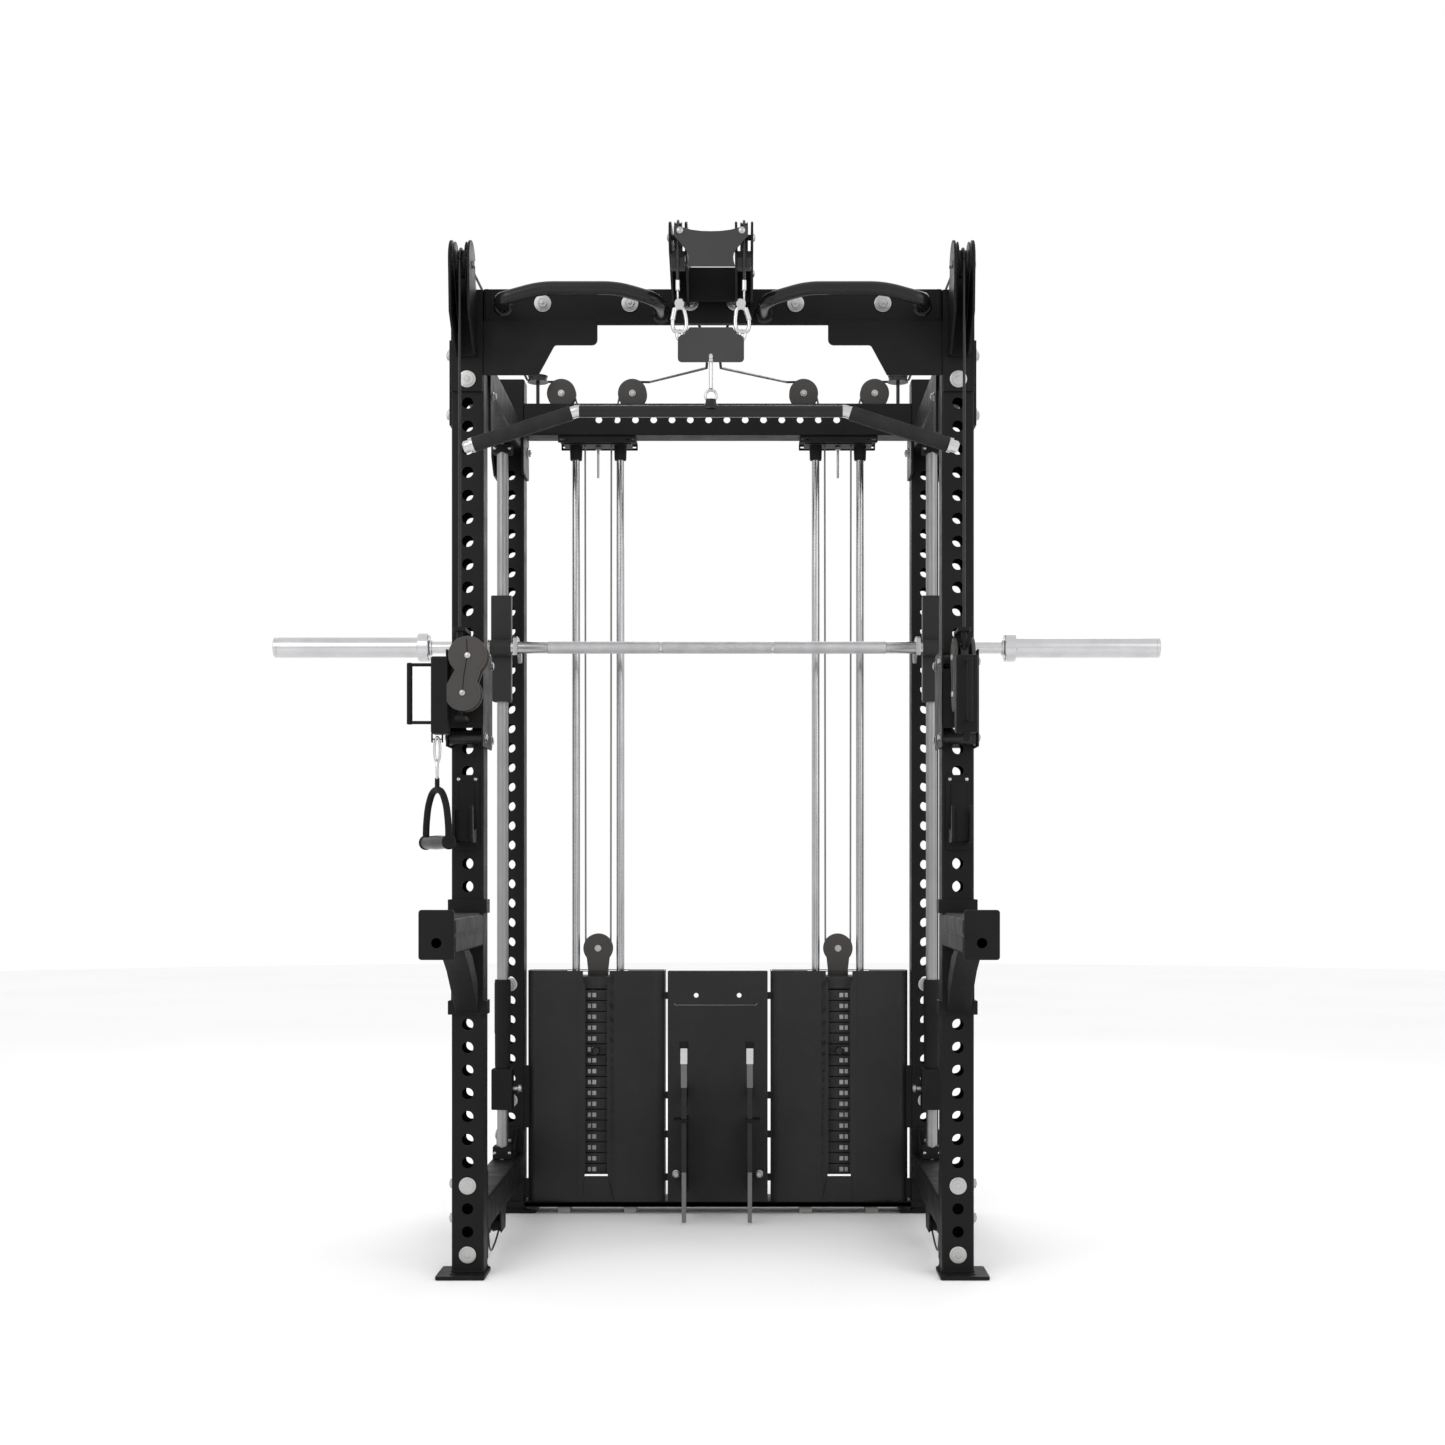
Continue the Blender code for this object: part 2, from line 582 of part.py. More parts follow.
def pulley(name, centre, axis):
    wheel = turned(grooved_profile(PULLEY_RADIUS, PULLEY_WIDTH, 0.0063), centre, axis, 12)
    finish(wheel, name, NYLON, centre)


def lat_sheaves():
    """Two sheaves on one through axle at the front of the lat block."""
    y, z = y_at(LAT_SHEAVE_DEPTH), LAT_SHEAVE_Z
    axle = rod((-0.0865, y, z), (0.0865, y, z), 0.0060, 10)
    profile = grooved_profile(PULLEY_RADIUS, PULLEY_WIDTH, 0.004)
    wheels = [turned(profile, (side * LAT_SHEAVE_X, y, z), (1, 0, 0), 12) for side in SIDES.values()]
    finish(combine(axle, wheels), "lat_sheaves", NYLON, (0, y, z))


def smooth_route(points, spacing):
    """Evenly spaced points on a smooth curve through the given ones."""
    knots = [Vector(point) for point in points]
    route = []
    for index in range(len(knots) - 1):
        before = knots[max(index - 1, 0)]
        start, end = knots[index], knots[index + 1]
        after = knots[min(index + 2, len(knots) - 1)]
        steps = max(1, min(6, round((end - start).length / spacing)))
        for step in range(steps):
            t = step / steps
            square = (2 * before - 5 * start + 4 * end - after) * t ** 2
            cube = (3 * start - before - 3 * end + after) * t ** 3
            route.append(0.5 * (2 * start + (end - before) * t + square + cube))
    return route + [knots[-1]]


def cable(name, points):
    finish(tube(points, CABLE_RADIUS, 1), name, RUBBER)


def stack_cable(name, side):
    """Hairpin from the two beam pulleys down round the stack pulley."""
    middle = y_at(STACK_DEPTH)
    x = side * STACK_X
    outer, inner = (side * value for value in BEAM_PULLEY_X)
    points = [(outer - side * CABLE_LINE, middle, BEAM_PULLEY_Z), (x + side * STRAND_OFFSET, middle, 2.020)]
    for u, v in arc((0, STACK_PULLEY_Z), CABLE_LINE, 0, -180, 8):
        points.append((x + side * u, middle, v))
    points += [(x - side * STRAND_OFFSET, middle, 2.020), (inner + side * CABLE_LINE, middle, BEAM_PULLEY_Z)]
    cable(name, points)


def side_cable(name, side):
    """From the top pulley back to the corner guide and in over the outer beam pulley."""
    middle = y_at(STACK_DEPTH)
    outer = BEAM_PULLEY_X[0]
    points = []
    for u, v in arc((0, 0), CABLE_LINE, 176, 90, 4):
        points.append((side * UPRIGHT_X, y_at(TOP_PULLEY_DEPTH) + u, TOP_PULLEY_Z + v))
    corner_radius = CABLE_LINE - 0.004
    corner_y = middle + CORNER_GUIDE_SHIFT
    for u, v in arc((0, 0), corner_radius, 0, 80, 4):
        points.append((side * (CORNER_GUIDE_X + u), corner_y + v, BEAM_PULLEY_Z + CABLE_LINE))
    for u, v in arc((0, 0), CABLE_LINE, 90, 174, 4):
        points.append((side * (outer + u), middle, BEAM_PULLEY_Z + v))
    cable(name, points)


def lat_cable(name, side):
    """From the inner beam pulley forward under the crossbeam and up over the lat block."""
    middle = y_at(STACK_DEPTH)
    inner = BEAM_PULLEY_X[1]
    points = [(side * (inner + u), middle, BEAM_PULLEY_Z + v) for u, v in arc((0, 0), CABLE_LINE, 6, 84, 4)]
    points.append((side * (inner - 0.044), middle, BEAM_PULLEY_Z + CABLE_LINE - 0.001))
    knots = [
        (0.016, 0.125, 2.004), (0.014, 0.105, 2.020), (0.030, 0.100, 2.090), (LAT_SHEAVE_X, 0.098, 2.175),
        (LAT_SHEAVE_X, 0.080, 2.210), (LAT_SHEAVE_X, 0.045, LAT_SHEAVE_Z + CABLE_LINE),
    ]
    knots = [(side * x, y_at(depth), z) for x, depth, z in knots]
    points += smooth_route(knots, 0.02)
    for u, v in arc((0, 0), CABLE_LINE, 90, 176, 5):
        points.append((side * LAT_SHEAVE_X, y_at(LAT_SHEAVE_DEPTH) + u, LAT_SHEAVE_Z + v))
    cable(name, points)


def straight_strand(name, x, depth, span):
    y = y_at(depth)
    finish(rod((x, y, span[0]), (x, y, span[1]), CABLE_RADIUS, 8), name, RUBBER)


def lat_pulley_housing():
    """Saddle over the crossbeam, with cheeks out to the lat sheaves and a bow-shaped plate across them."""
    front, back = -0.0023, TUBE + 0.0023
    width = (-0.0875, 0.0875)
    saddle = box(width, (y_at(front - 0.008), y_at(front)), (2.065, 2.160))
    pieces = [
        box(width, (y_at(front - 0.008), y_at(back + 0.008)), (2.1432, 2.160)),
        box(width, (y_at(back), y_at(back + 0.006)), (2.090, 2.160)),
        box(width, (y_at(-0.050), y_at(-0.044)), (2.102, 2.175)),
    ]
    sheave = (y_at(LAT_SHEAVE_DEPTH), LAT_SHEAVE_Z)
    outline = [(y_at(0.078), 2.145), (y_at(0.078), 2.215), (y_at(0.040), 2.246)]
    outline += [(sheave[0], 2.2235), *arc(sheave, 0.040, 150, 270, 5)]
    outline += [(y_at(-0.060), 2.100), (y_at(-0.006), 2.100), (y_at(-0.006), 2.145)]
    for side in SIDES.values():
        for offset in (-0.0165, 0.0165):
            pieces.append(sheet(outline, 0.005, facing_side(side * LAT_SHEAVE_X + offset)))
        x = side * LAT_SHEAVE_X
        pieces.append(rod((x - 0.018, y_at(0.045), 2.190), (x + 0.018, y_at(0.045), 2.190), 0.026, 8))
    block = combine(saddle, pieces)
    y, z = sheave
    block = cut(block, [rod((-0.10, y, z), (0.10, y, z), 0.0066, 10)])
    right = [(0.040, 2.193), (0.0762, 2.202), (0.0762, 2.180), (0.046, 2.139), (0.050, 2.118)]
    bow = [(0, 2.190), *right, *((-x, height) for x, height in reversed(right))]
    plate = sheet(bow, 0.005, facing_front(y_at(-0.237)))
    finish(combine(block, [plate]), "lat_pulley_housing", POWDER)


def coupler():
    """Coupler plate hung from two spring hooks, with the hanger rod and ring for the lat bar."""
    y = y_at(LAT_LINE_DEPTH)
    half, low, high = 0.068, 1.924, 1.995
    right = [
        (half - 0.008, low), (half, low + 0.008), (half, high - 0.018), (half - 0.015, high - 0.012),
        (half - 0.022, high),
    ]
    plate = sheet(right + [(-u, v) for u, v in reversed(right)], PLATE, facing_front(y))
    loop = [
        (-0.001, 2.045), (0.012, 2.033), (0.014, 2.000), (0.004, 1.978), (-0.010, 1.980), (-0.014, 2.000),
        (-0.012, 2.033), (0.001, 2.0455),
    ]
    pieces = []
    for side in SIDES.values():
        pieces.append(tube([(side * 0.0645 + u, y, z) for u, z in loop], 0.0042, 0))
    pieces.append(rod((0, y, LAT_BAR_Z + 0.0473), (0, y, 1.935), 0.0045, 6))
    pieces.append(rod((0, y, 1.925), (0, y, 1.940), 0.0065, 6))
    return plate, pieces


def lat_bar():
    """Bent pull-down bar with rubber grips and its hanging ring."""
    y = y_at(LAT_LINE_DEPTH)
    points = [(-0.508, y, 1.748), (-0.275, y, LAT_BAR_Z), (0.275, y, LAT_BAR_Z), (0.508, y, 1.748)]
    bar = tube(points, 0.0125, 2)
    pieces = [rod((0, y, LAT_BAR_Z + 0.005), (0, y, LAT_BAR_Z + 0.024), 0.011, 10)]
    for side in SIDES.values():
        start = Vector((side * 0.290, y, LAT_BAR_Z - 0.005))
        end = Vector((side * 0.490, y, 1.7545))
        pieces.append(rod(start, end, 0.0155, 10))
    return combine(bar, pieces)


def ring(centre, major, minor):
    """A welded ring that lies across Y."""
    return turned(arc((major, 0), minor, 0, 300, 5), centre, (0, 1, 0), 12)


def lat_station():
    y = y_at(LAT_LINE_DEPTH)
    plate, pieces = coupler()
    finish(combine(plate, pieces), "coupler_plate", STEEL)
    bar = combine(lat_bar(), [ring((0, y, LAT_BAR_Z + 0.032), 0.0115, 0.003)])
    finish(bar, "lat_bar", STEEL)


# ---------------------------------------------------------------- guided barbell
def smith_rail(name, side):
    """Round rail with the blocks that hold it to the side beams and the base frame."""
    x, y = side * RAIL_X, y_at(RAIL_DEPTH)
    rail = rod((x, y, BASE_BEAM_Z[1] + GAP), (x, y, SIDE_BEAM_Z[0] - GAP), RAIL_RADIUS, 14)
    wide, forward, behind = RAIL_BLOCK
    blocks = []
    for z in ((BASE_BEAM_Z[1] + GAP, 0.190), (1.925, SIDE_BEAM_Z[0] - GAP)):
        blocks.append(box((x - wide, x + wide), (y - forward, y + behind), z))
    finish(combine(rail, blocks), name, STEEL)


def rail_bore(side, low, high):
    """The tool for the bore that slides on a rail."""
    x, y = side * RAIL_X, y_at(RAIL_DEPTH)
    return rod((x, y, low - OVERRUN), (x, y, high + OVERRUN), RAIL_RADIUS + 0.0012, 14)


def smith_carriage(name, side):
    """Bearing block that slides on the rail and carries the barbell."""
    x, y = side * RAIL_X, y_at(RAIL_DEPTH)
    low, high = CARRIAGE_Z
    body = rod((x, y, low), (x, y, high), 0.024, 12)
    plate = box((x - 0.026, x + 0.026), (y - 0.0285, y - 0.018), (low, high))
    boss = rod((x - 0.026, y_at(BAR_DEPTH), BAR_Z), (x + 0.026, y_at(BAR_DEPTH), BAR_Z), 0.026, 12)
    body = combine(body, [plate, boss])
    eye = rod((x - 0.05, y_at(BAR_DEPTH), BAR_Z), (x + 0.05, y_at(BAR_DEPTH), BAR_Z), BAR_BORE, 14)
    finish(cut(body, [rail_bore(side, low, high), eye]), name, POWDER, (x, y, BAR_Z))


def smith_stop(name, side):
    """Safety stop with its rubber top, clamped on the rail."""
    x, y = side * RAIL_X, y_at(RAIL_DEPTH)
    low, high = STOP_SLEEVE_Z
    block = box((x - 0.026, x + 0.026), (y - 0.024, y + 0.024), STOP_BLOCK_Z)
    body = combine(rod((x, y, low), (x, y, high), 0.020, 12), [block])
    finish(cut(body, [rail_bore(side, STOP_BLOCK_Z[0], high)]), name, POWDER, (x, y, low))


def barbell():
    """Knurled shaft with its two lock hooks, and a turning sleeve at each end."""
    y, z = y_at(BAR_DEPTH), BAR_Z
    shaft = rod((-1.080, y, z), (1.080, y, z), BAR_RADIUS, 12)
    hooks = []
    for side in SIDES.values():
        x = side * 0.500
        outline = [
            (0.592, 1.412), (0.592, 1.458), (0.640, 1.462), (0.700, 1.440), (0.708, 1.410), (0.700, 1.405),
            (0.690, 1.425), (0.640, 1.440),
        ]
        hooks.append(sheet([(y_at(depth), height) for depth, height in outline], 0.010, facing_side(x)))
        for inner, outer in SHAFT_RINGS:
            hooks.append(rod((side * inner, y, z), (side * outer, y, z), 0.020, 8))
    finish(combine(shaft, hooks), "barbell_shaft", STEEL, (0, y, z))
    for label, side in SIDES.items():
        profile = [
            (BAR_BORE, SLEEVE_X[0]), (COLLAR_RADIUS, SLEEVE_X[0]), (COLLAR_RADIUS, COLLAR_END_X),
            (SLEEVE_RADIUS, COLLAR_END_X), (SLEEVE_RADIUS, SLEEVE_X[1]), (BAR_BORE, SLEEVE_X[1]),
        ]
        sleeve = turned(profile, (0, y, z), (side, 0, 0), 16)
        finish(sleeve, f"barbell_sleeve_{label}", STEEL, (side * SLEEVE_X[0], y, z))


# ---------------------------------------------------------------- trolleys and accessories
def trolley(name, side):
    """Roller carriage round the front upright, with lugs for the swivel head."""
    x = side * UPRIGHT_X
    low, high = TROLLEY_Z
    near, far = 0.0365, 0.0400
    front = box((x - far, x + far), (y_at(-0.047), y_at(-0.041)), (1.187, 1.314))
    pieces = [box((x - 0.014, x + 0.014), (y_at(-0.047), y_at(-0.041)), (1.304, 1.3932))]
    for face in (-1, 1):
        span = sorted((x + face * near, x + face * far))
        pieces.append(box(span, (y_at(-0.047), y_at(0.108)), (low, high)))
    for z in ROLLER_Z:
        for depth in (-0.0175, 0.0875):
            y = y_at(depth)
            pieces.append(rod((x - 0.037, y, z), (x + 0.037, y, z), 0.0170, 8))
            pieces.append(rod((x - 0.0465, y, z), (x + 0.0465, y, z), 0.0080, 6))
    for z in (1.1985, 1.3852):
        pieces.append(box((x - 0.014, x + 0.014), (y_at(HEAD_DEPTH - 0.014), y_at(-0.043)), (z, z + 0.008)))
    body = combine(front, pieces)
    pivot_y = y_at(HEAD_DEPTH)
    eyes = []
    for span in ((1.180, 1.215), (1.370, 1.410)):
        eyes.append(rod((x, pivot_y, span[0]), (x, pivot_y, span[1]), PIVOT_RADIUS + 0.0006, 10))
    finish(cut(body, eyes), name, POWDER)


def swivel_head(name, side, turn):
    """Twin-sheave head on a vertical pivot with a pull handle. It is built facing the user, then turned."""
    upper_x, upper_z, upper_r = HEAD_UPPER
    lower_x, lower_z, lower_r = HEAD_LOWER
    pieces = []
    for face in (-1, 1):
        y = face * 0.019
        outline = arc((-side * upper_x, upper_z), upper_r, -60, 240, 7)
        outline += arc((-side * lower_x, lower_z), lower_r, 140, 400, 6)
        pieces.append(sheet(outline, 0.008, facing_front(y)))
    for centre_x, centre_z in ((upper_x, upper_z), (lower_x, lower_z)):
        hub = [(-side * centre_x, reach, centre_z) for reach in (-0.020, 0.020)]
        pieces.append(rod(*hub, 0.030, 10))
    pieces.append(box(sorted((side * 0.022, side * 0.058)), (-0.023, 0.023), YOKE_Z))
    pieces.append(rod((0, 0, 1.3450), (0, 0, 1.3935), PIVOT_RADIUS, 10))
    pieces.append(rod((0, 0, 1.1985), (0, 0, 1.2350), PIVOT_RADIUS, 10))
    grip = [
        (0.050, 1.315), (0.098, 1.315), (0.1057, 1.307), (0.1057, 1.201), (0.098, 1.193), (0.050, 1.193),
    ]
    pieces.append(tube([(side * u, 0, z) for u, z in grip], 0.006, 1))
    body = combine(pieces[0], pieces[1:])
    body.data.transform(body.matrix_world)
    place = Matrix.Translation((side * UPRIGHT_X, y_at(HEAD_DEPTH), 0)) @ Matrix.Rotation(turn, 4, "Z")
    body.matrix_world = place
    bpy.context.view_layer.update()
    finish(body, name, SHEET, (side * UPRIGHT_X, y_at(HEAD_DEPTH), upper_z))


def d_handle():
    """Stirrup handle on its spring link, hanging from the left swivel head."""
    x, y = -0.580, y_at(HEAD_DEPTH)
    link = rod((x, y, 1.110), (x, y, YOKE_Z[0] - 4 * GAP), 0.0035, 8)
    loop = [
        (0.0, 1.1125), (0.008, 1.104), (0.008, 1.083), (0.0, 1.074), (-0.008, 1.083), (-0.008, 1.104),
        (-0.001, 1.1130),
    ]
    pieces = [tube([(x + u, y, z) for u, z in loop], 0.0035, 1)]
    pieces.append(rod((x, y, 1.050), (x, y, 1.076), 0.0045, 8))
    turn = math.radians(-57)
    stirrup = [(0.0, 1.053), (0.026, 1.046), (0.047, 1.018), (0.0575, 0.975), (0.058, 0.940)]
    shape = [(-u, z) for u, z in reversed(stirrup)] + stirrup[1:]
    path = [(x + u * math.cos(turn), y + u * math.sin(turn), z) for u, z in shape]
    pieces.append(tube(path, 0.0070, 1))
    ends = [(x + u * math.cos(turn), y + u * math.sin(turn), 0.940) for u in (-0.064, 0.064)]
    pieces.append(rod(ends[0], ends[1], 0.0150, 12))
    finish(combine(link, pieces), "d_handle", RUBBER, (x, y, HANDLE_PIVOT_Z))


def spotter_arm(name, side):
    """Safety arm hooked on the front upright, with its brace and end plate."""
    x = side * UPRIGHT_X
    half = TUBE / 2
    arm = box((x - half, x + half), (y_at(-0.426), y_at(-0.004)), (0.717, 0.787))
    pieces = [
        box((x - half - 0.007, x + half + 0.007), (y_at(-0.0063), y_at(-GAP)), (0.568, 0.818)),
        box((x - half, x + half), (y_at(-0.426), y_at(-0.420)), (0.706, 0.804)),
    ]
    brace = [(-0.004, 0.575), (-0.004, 0.640), (-0.150, 0.720), (-0.235, 0.720)]
    pieces.append(sheet([(y_at(depth), z) for depth, z in brace], 0.050, facing_side(x)))
    for face in (-1, 1):
        span = sorted((x + face * (half + GAP), x + face * (half + 0.007)))
        pieces.append(box(span, (y_at(-0.006), y_at(0.050)), (0.568, 0.818)))
    body = combine(arm, pieces)
    finish(cut(body, [rod((x, y_at(-0.44), 0.739), (x, y_at(-0.380), 0.739), 0.010, 8)]), name, POWDER)


def j_cup(name, side):
    """Bar holder: back plate, shelf and front lip, with two pegs in the upright's holes."""
    x = side * UPRIGHT_X
    body = box((x - 0.026, x + 0.026), (y_at(-0.0073), y_at(-GAP)), (0.925, 1.088))
    outline = [
        (-0.004, 0.940), (-0.004, 0.975), (-0.055, 0.965), (-0.066, 1.020), (-0.078, 1.020), (-0.078, 0.948),
        (-0.066, 0.940),
    ]
    pieces = [sheet([(y_at(depth), z) for depth, z in outline], 0.046, facing_side(x))]
    for z in (FIRST_HOLE_Z + 17 * HOLE_PITCH, FIRST_HOLE_Z + 19 * HOLE_PITCH):
        pieces.append(rod((x, y_at(-0.004), z), (x, y_at(0.055), z), 0.0095, 8))
    finish(combine(body, pieces), name, POWDER)


# ---------------------------------------------------------------- assembly
def build():
    for label, side in SIDES.items():
        upright("front", label, side)
        upright("rear", label, side)
        top_side_beam(f"top_side_beam_{label}", side)
        guide_frame(f"guide_frame_{label}", side)
        resting_plates(f"resting_plates_{label}", side)
        lifted_plates(f"lifted_plates_{label}", side)
        selector_pin(f"selector_pin_{label}", side)
        shroud(f"shroud_{label}", side)
        smith_rail(f"smith_rail_{label}", side)
        smith_carriage(f"smith_carriage_{label}", side)
        smith_stop(f"smith_stop_{label}", side)
        trolley(f"trolley_{label}", side)
        spotter_arm(f"spotter_arm_{label}", side)
        j_cup(f"j_cup_{label}", side)
        middle = y_at(STACK_DEPTH)
        pulley(f"stack_pulley_{label}", (side * STACK_X, middle, STACK_PULLEY_Z), (0, 1, 0))
        for place, x in zip(("outer", "inner"), BEAM_PULLEY_X):
            pulley(f"beam_pulley_{place}_{label}", (side * x, middle, BEAM_PULLEY_Z), (0, 1, 0))
        pulley(f"top_pulley_{label}", (side * UPRIGHT_X, y_at(TOP_PULLEY_DEPTH), TOP_PULLEY_Z), (1, 0, 0))
        stack_cable(f"stack_cable_{label}", side)
        side_cable(f"side_cable_{label}", side)
        lat_cable(f"lat_cable_{label}", side)
        lat_span = (LAT_STRAND_LOW, LAT_SHEAVE_Z)
        straight_strand(f"lat_strand_{label}", side * LAT_SHEAVE_X, LAT_LINE_DEPTH, lat_span)
        trolley_span = (TROLLEY_STRAND_LOW, TOP_PULLEY_Z)
        straight_strand(f"trolley_strand_{label}", side * UPRIGHT_X, HEAD_DEPTH, trolley_span)
    swivel_head("swivel_head_left", -1, 0.0)
    swivel_head("swivel_head_right", 1, math.radians(-90))
    front_crossbeam()
    rear_crossbeam()
    base_frame()
    centre_panel()
    lat_sheaves()
    lat_pulley_housing()
    lat_station()
    barbell()
    d_handle()


build()
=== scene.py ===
"""Looks of the cable crossover rack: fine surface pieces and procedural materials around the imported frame.

Metres, in the frame's own coordinates. Side pieces are shaped for the right side (+X) and mirrored for the
left. Depths are stated from the front face of the front uprights and turned into Y by at().
"""
import math

import bmesh
import bpy
from mathutils import Matrix, Vector


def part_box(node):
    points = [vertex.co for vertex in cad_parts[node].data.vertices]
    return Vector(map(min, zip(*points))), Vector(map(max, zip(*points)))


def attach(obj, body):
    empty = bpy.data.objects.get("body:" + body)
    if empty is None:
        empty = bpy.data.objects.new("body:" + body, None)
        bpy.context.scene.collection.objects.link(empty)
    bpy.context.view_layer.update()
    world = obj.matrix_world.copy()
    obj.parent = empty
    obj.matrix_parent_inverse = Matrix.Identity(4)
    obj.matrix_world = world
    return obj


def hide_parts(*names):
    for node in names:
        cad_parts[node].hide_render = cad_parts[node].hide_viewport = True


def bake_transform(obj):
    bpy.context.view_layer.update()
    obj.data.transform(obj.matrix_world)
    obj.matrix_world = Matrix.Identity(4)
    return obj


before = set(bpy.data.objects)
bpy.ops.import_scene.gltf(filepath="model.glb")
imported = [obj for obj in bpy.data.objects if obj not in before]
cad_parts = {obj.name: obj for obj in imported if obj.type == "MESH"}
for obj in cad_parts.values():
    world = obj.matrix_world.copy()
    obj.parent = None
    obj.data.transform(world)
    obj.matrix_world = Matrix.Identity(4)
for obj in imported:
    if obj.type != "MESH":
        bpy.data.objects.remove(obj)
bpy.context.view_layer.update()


# ---------------------------------------------------------------- places read from the frame
def node_range(node, axis):
    """Lowest and highest coordinate of a frame node along one axis."""
    low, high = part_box(node)
    return low["xyz".index(axis)], high["xyz".index(axis)]


TUBE = 0.070
WALL = 0.003
FOOT_TOE = 0.045
FOOT_OVERHANG = 0.029
UPRIGHT_X = node_range("upright_front_right", "x")[1] - FOOT_OVERHANG - TUBE / 2
UPRIGHT_TOP = node_range("upright_front_right", "z")[1]
FRONT_FACE_Y = node_range("upright_front_right", "y")[0] + FOOT_TOE
REAR_DEPTH = node_range("upright_rear_right", "y")[0] - FRONT_FACE_Y
INNER_X = UPRIGHT_X - TUBE / 2
OUTER_X = UPRIGHT_X + TUBE / 2
HOLE_RADIUS = 0.0125
HOLE_PITCH = 0.050
HOLE_HEIGHTS = [0.096 + HOLE_PITCH * step for step in range(37) if step != 2]

FRONT_BEAM_Z = (2.065, 2.1427)
FRONT_BEAM_TUBE_LOW = 2.086
REAR_BEAM_Z = (1.999, 2.081)
SIDE_BEAM_Z = (1.950, 2.020)
BASE_BEAM_Z = (0.086, 0.156)
FLOOR_STRIP_Z = (0.018, 0.0325)

STACK_X = sum(node_range("lifted_plates_right", "x")) / 2
STACK_Y = sum(node_range("lifted_plates_right", "y")) / 2
ROD_OFFSET = 0.0575
ROD_RADIUS = 0.0105
PLATE_PITCH = 0.028
STACK_BOTTOM = 0.098
RESTING_COUNT = 11
LIFTED_COUNT = 6
STACK_HALF_WIDTH = 0.095
STACK_HALF_THICK = 0.045
STACK_PULLEY_Z = 0.679

PULLEY_RADIUS = 0.030
CABLE_RADIUS = 0.003
CABLE_LINE = PULLEY_RADIUS + 0.0025
BEAM_PULLEY_X = (0.406, 0.222)
BEAM_PULLEY_Z = 2.117
HEAD_DEPTH = -0.115
TOP_PULLEY = (HEAD_DEPTH + CABLE_LINE, 2.170)
CORNER_GUIDE_X = 0.465
LAT_X = 0.068
LAT_DEPTH = -0.230
LAT_SHEAVE = (LAT_DEPTH + CABLE_LINE, 2.190)
LAT_BAR_Z = 1.823
RAIL = (0.538, 0.654)
BAR_DEPTH = 0.613
BAR_Z = 1.435
ROLLER_Z = (1.168, 1.333)


def at(depth):
    """Y of a point this far behind the front face of the front uprights."""
    return FRONT_FACE_Y + depth


# ---------------------------------------------------------------- materials
class Graph:
    """A material's node tree, with short ways to add and link nodes."""

    def __init__(self, name):
        self.material = bpy.data.materials.new(name)
        self.material.use_nodes = True
        self.tree = self.material.node_tree
        self.shader = self.tree.nodes["Principled BSDF"]
        self.coords = self.add("ShaderNodeTexCoord").outputs["Object"]

    def add(self, kind, links=(), **settings):
        node = self.tree.nodes.new(kind)
        for key, value in settings.items():
            setattr(node, key, value)
        for socket, source in links:
            if hasattr(source, "is_output"):
                self.tree.links.new(source, node.inputs[socket])
            else:
                node.inputs[socket].default_value = source
        return node

    def noise(self, scale, detail=3.0, stretch=(1, 1, 1)):
        mapped = self.add("ShaderNodeMapping", [("Vector", self.coords), ("Scale", stretch)])
        node = self.add("ShaderNodeTexNoise", [("Vector", mapped.outputs[0]), ("Scale", scale),
                                               ("Detail", detail)])
        return node.outputs["Fac"]

    def spread(self, source, low, high):
        """The 0.3 to 0.7 of a noise turned into low to high."""
        node = self.add("ShaderNodeMapRange", [("Value", source), ("From Min", 0.3), ("From Max", 0.7),
                                               ("To Min", low), ("To Max", high)])
        return node.outputs["Result"]

    def mix(self, factor, first, second):
        node = self.add("ShaderNodeMix", [(0, factor), (6, first), (7, second)], data_type="RGBA")
        return node.outputs[2]

    def times(self, first, second):
        return self.add("ShaderNodeMath", [(0, first), (1, second)], operation="MULTIPLY").outputs[0]

    def edges(self, radius):
        """1 on convex and concave edges, 0 on flats, found by comparing rounded and true normals."""
        rounded = self.add("ShaderNodeBevel", [("Radius", radius)], samples=4).outputs[0]
        true = self.add("ShaderNodeNewGeometry").outputs["True Normal"]
        dot = self.add("ShaderNodeVectorMath", [(0, rounded), (1, true)],
                       operation="DOT_PRODUCT").outputs["Value"]
        node = self.add("ShaderNodeMapRange", [("Value", dot), ("From Min", 0.98), ("From Max", 0.80)])
        return node.outputs["Result"]

    def bump(self, height, strength, distance, under=None):
        links = [("Height", height), ("Strength", strength), ("Distance", distance)]
        if under:
            links.append(("Normal", under))
        return self.add("ShaderNodeBump", links).outputs[0]

    def set(self, socket, source):
        if hasattr(source, "is_output"):
            self.tree.links.new(source, self.shader.inputs[socket])
        else:
            self.shader.inputs[socket].default_value = source


def shade(colour, factor):
    return (*(channel * factor for channel in colour), 1.0)


def coated(name, colour, roughness, grain=900, relief=0.10, mottle=0.18, edge_highlight_strength=0.25, gloss=0.3, metallic=0.0):
    """Powder coat, paint or moulded plastic: fine orange-peel grain, broad mottling and a painted highlight
    on the edges.
    """
    g = Graph(name)
    broad = g.noise(7.0, 5.0)
    fine = g.noise(grain, 2.0)
    base = g.mix(g.spread(broad, 0.0, 1.0), shade(colour, 1 - mottle), shade(colour, 1 + mottle))
    # Painted edge highlight: an edge mask times patchy noise, scaled by the edge strength argument.
    painted_edge_highlight = g.times(g.edges(0.0015), g.spread(g.noise(60.0, 4.0), 0.2 * edge_highlight_strength, edge_highlight_strength))
    # The paler colour mixed in at the edges is the painted highlight.
    g.set("Base Color", g.mix(painted_edge_highlight, base, shade([min(1.0, channel * 3 + 0.03) for channel in colour], 1.0)))
    g.set("Roughness", g.spread(g.noise(24.0, 4.0), roughness - 0.06, roughness + 0.08))
    g.set("Metallic", metallic)
    g.set("Specular IOR Level", gloss)
    g.set("Normal", g.bump(fine, relief, 0.0004))
    return g.material


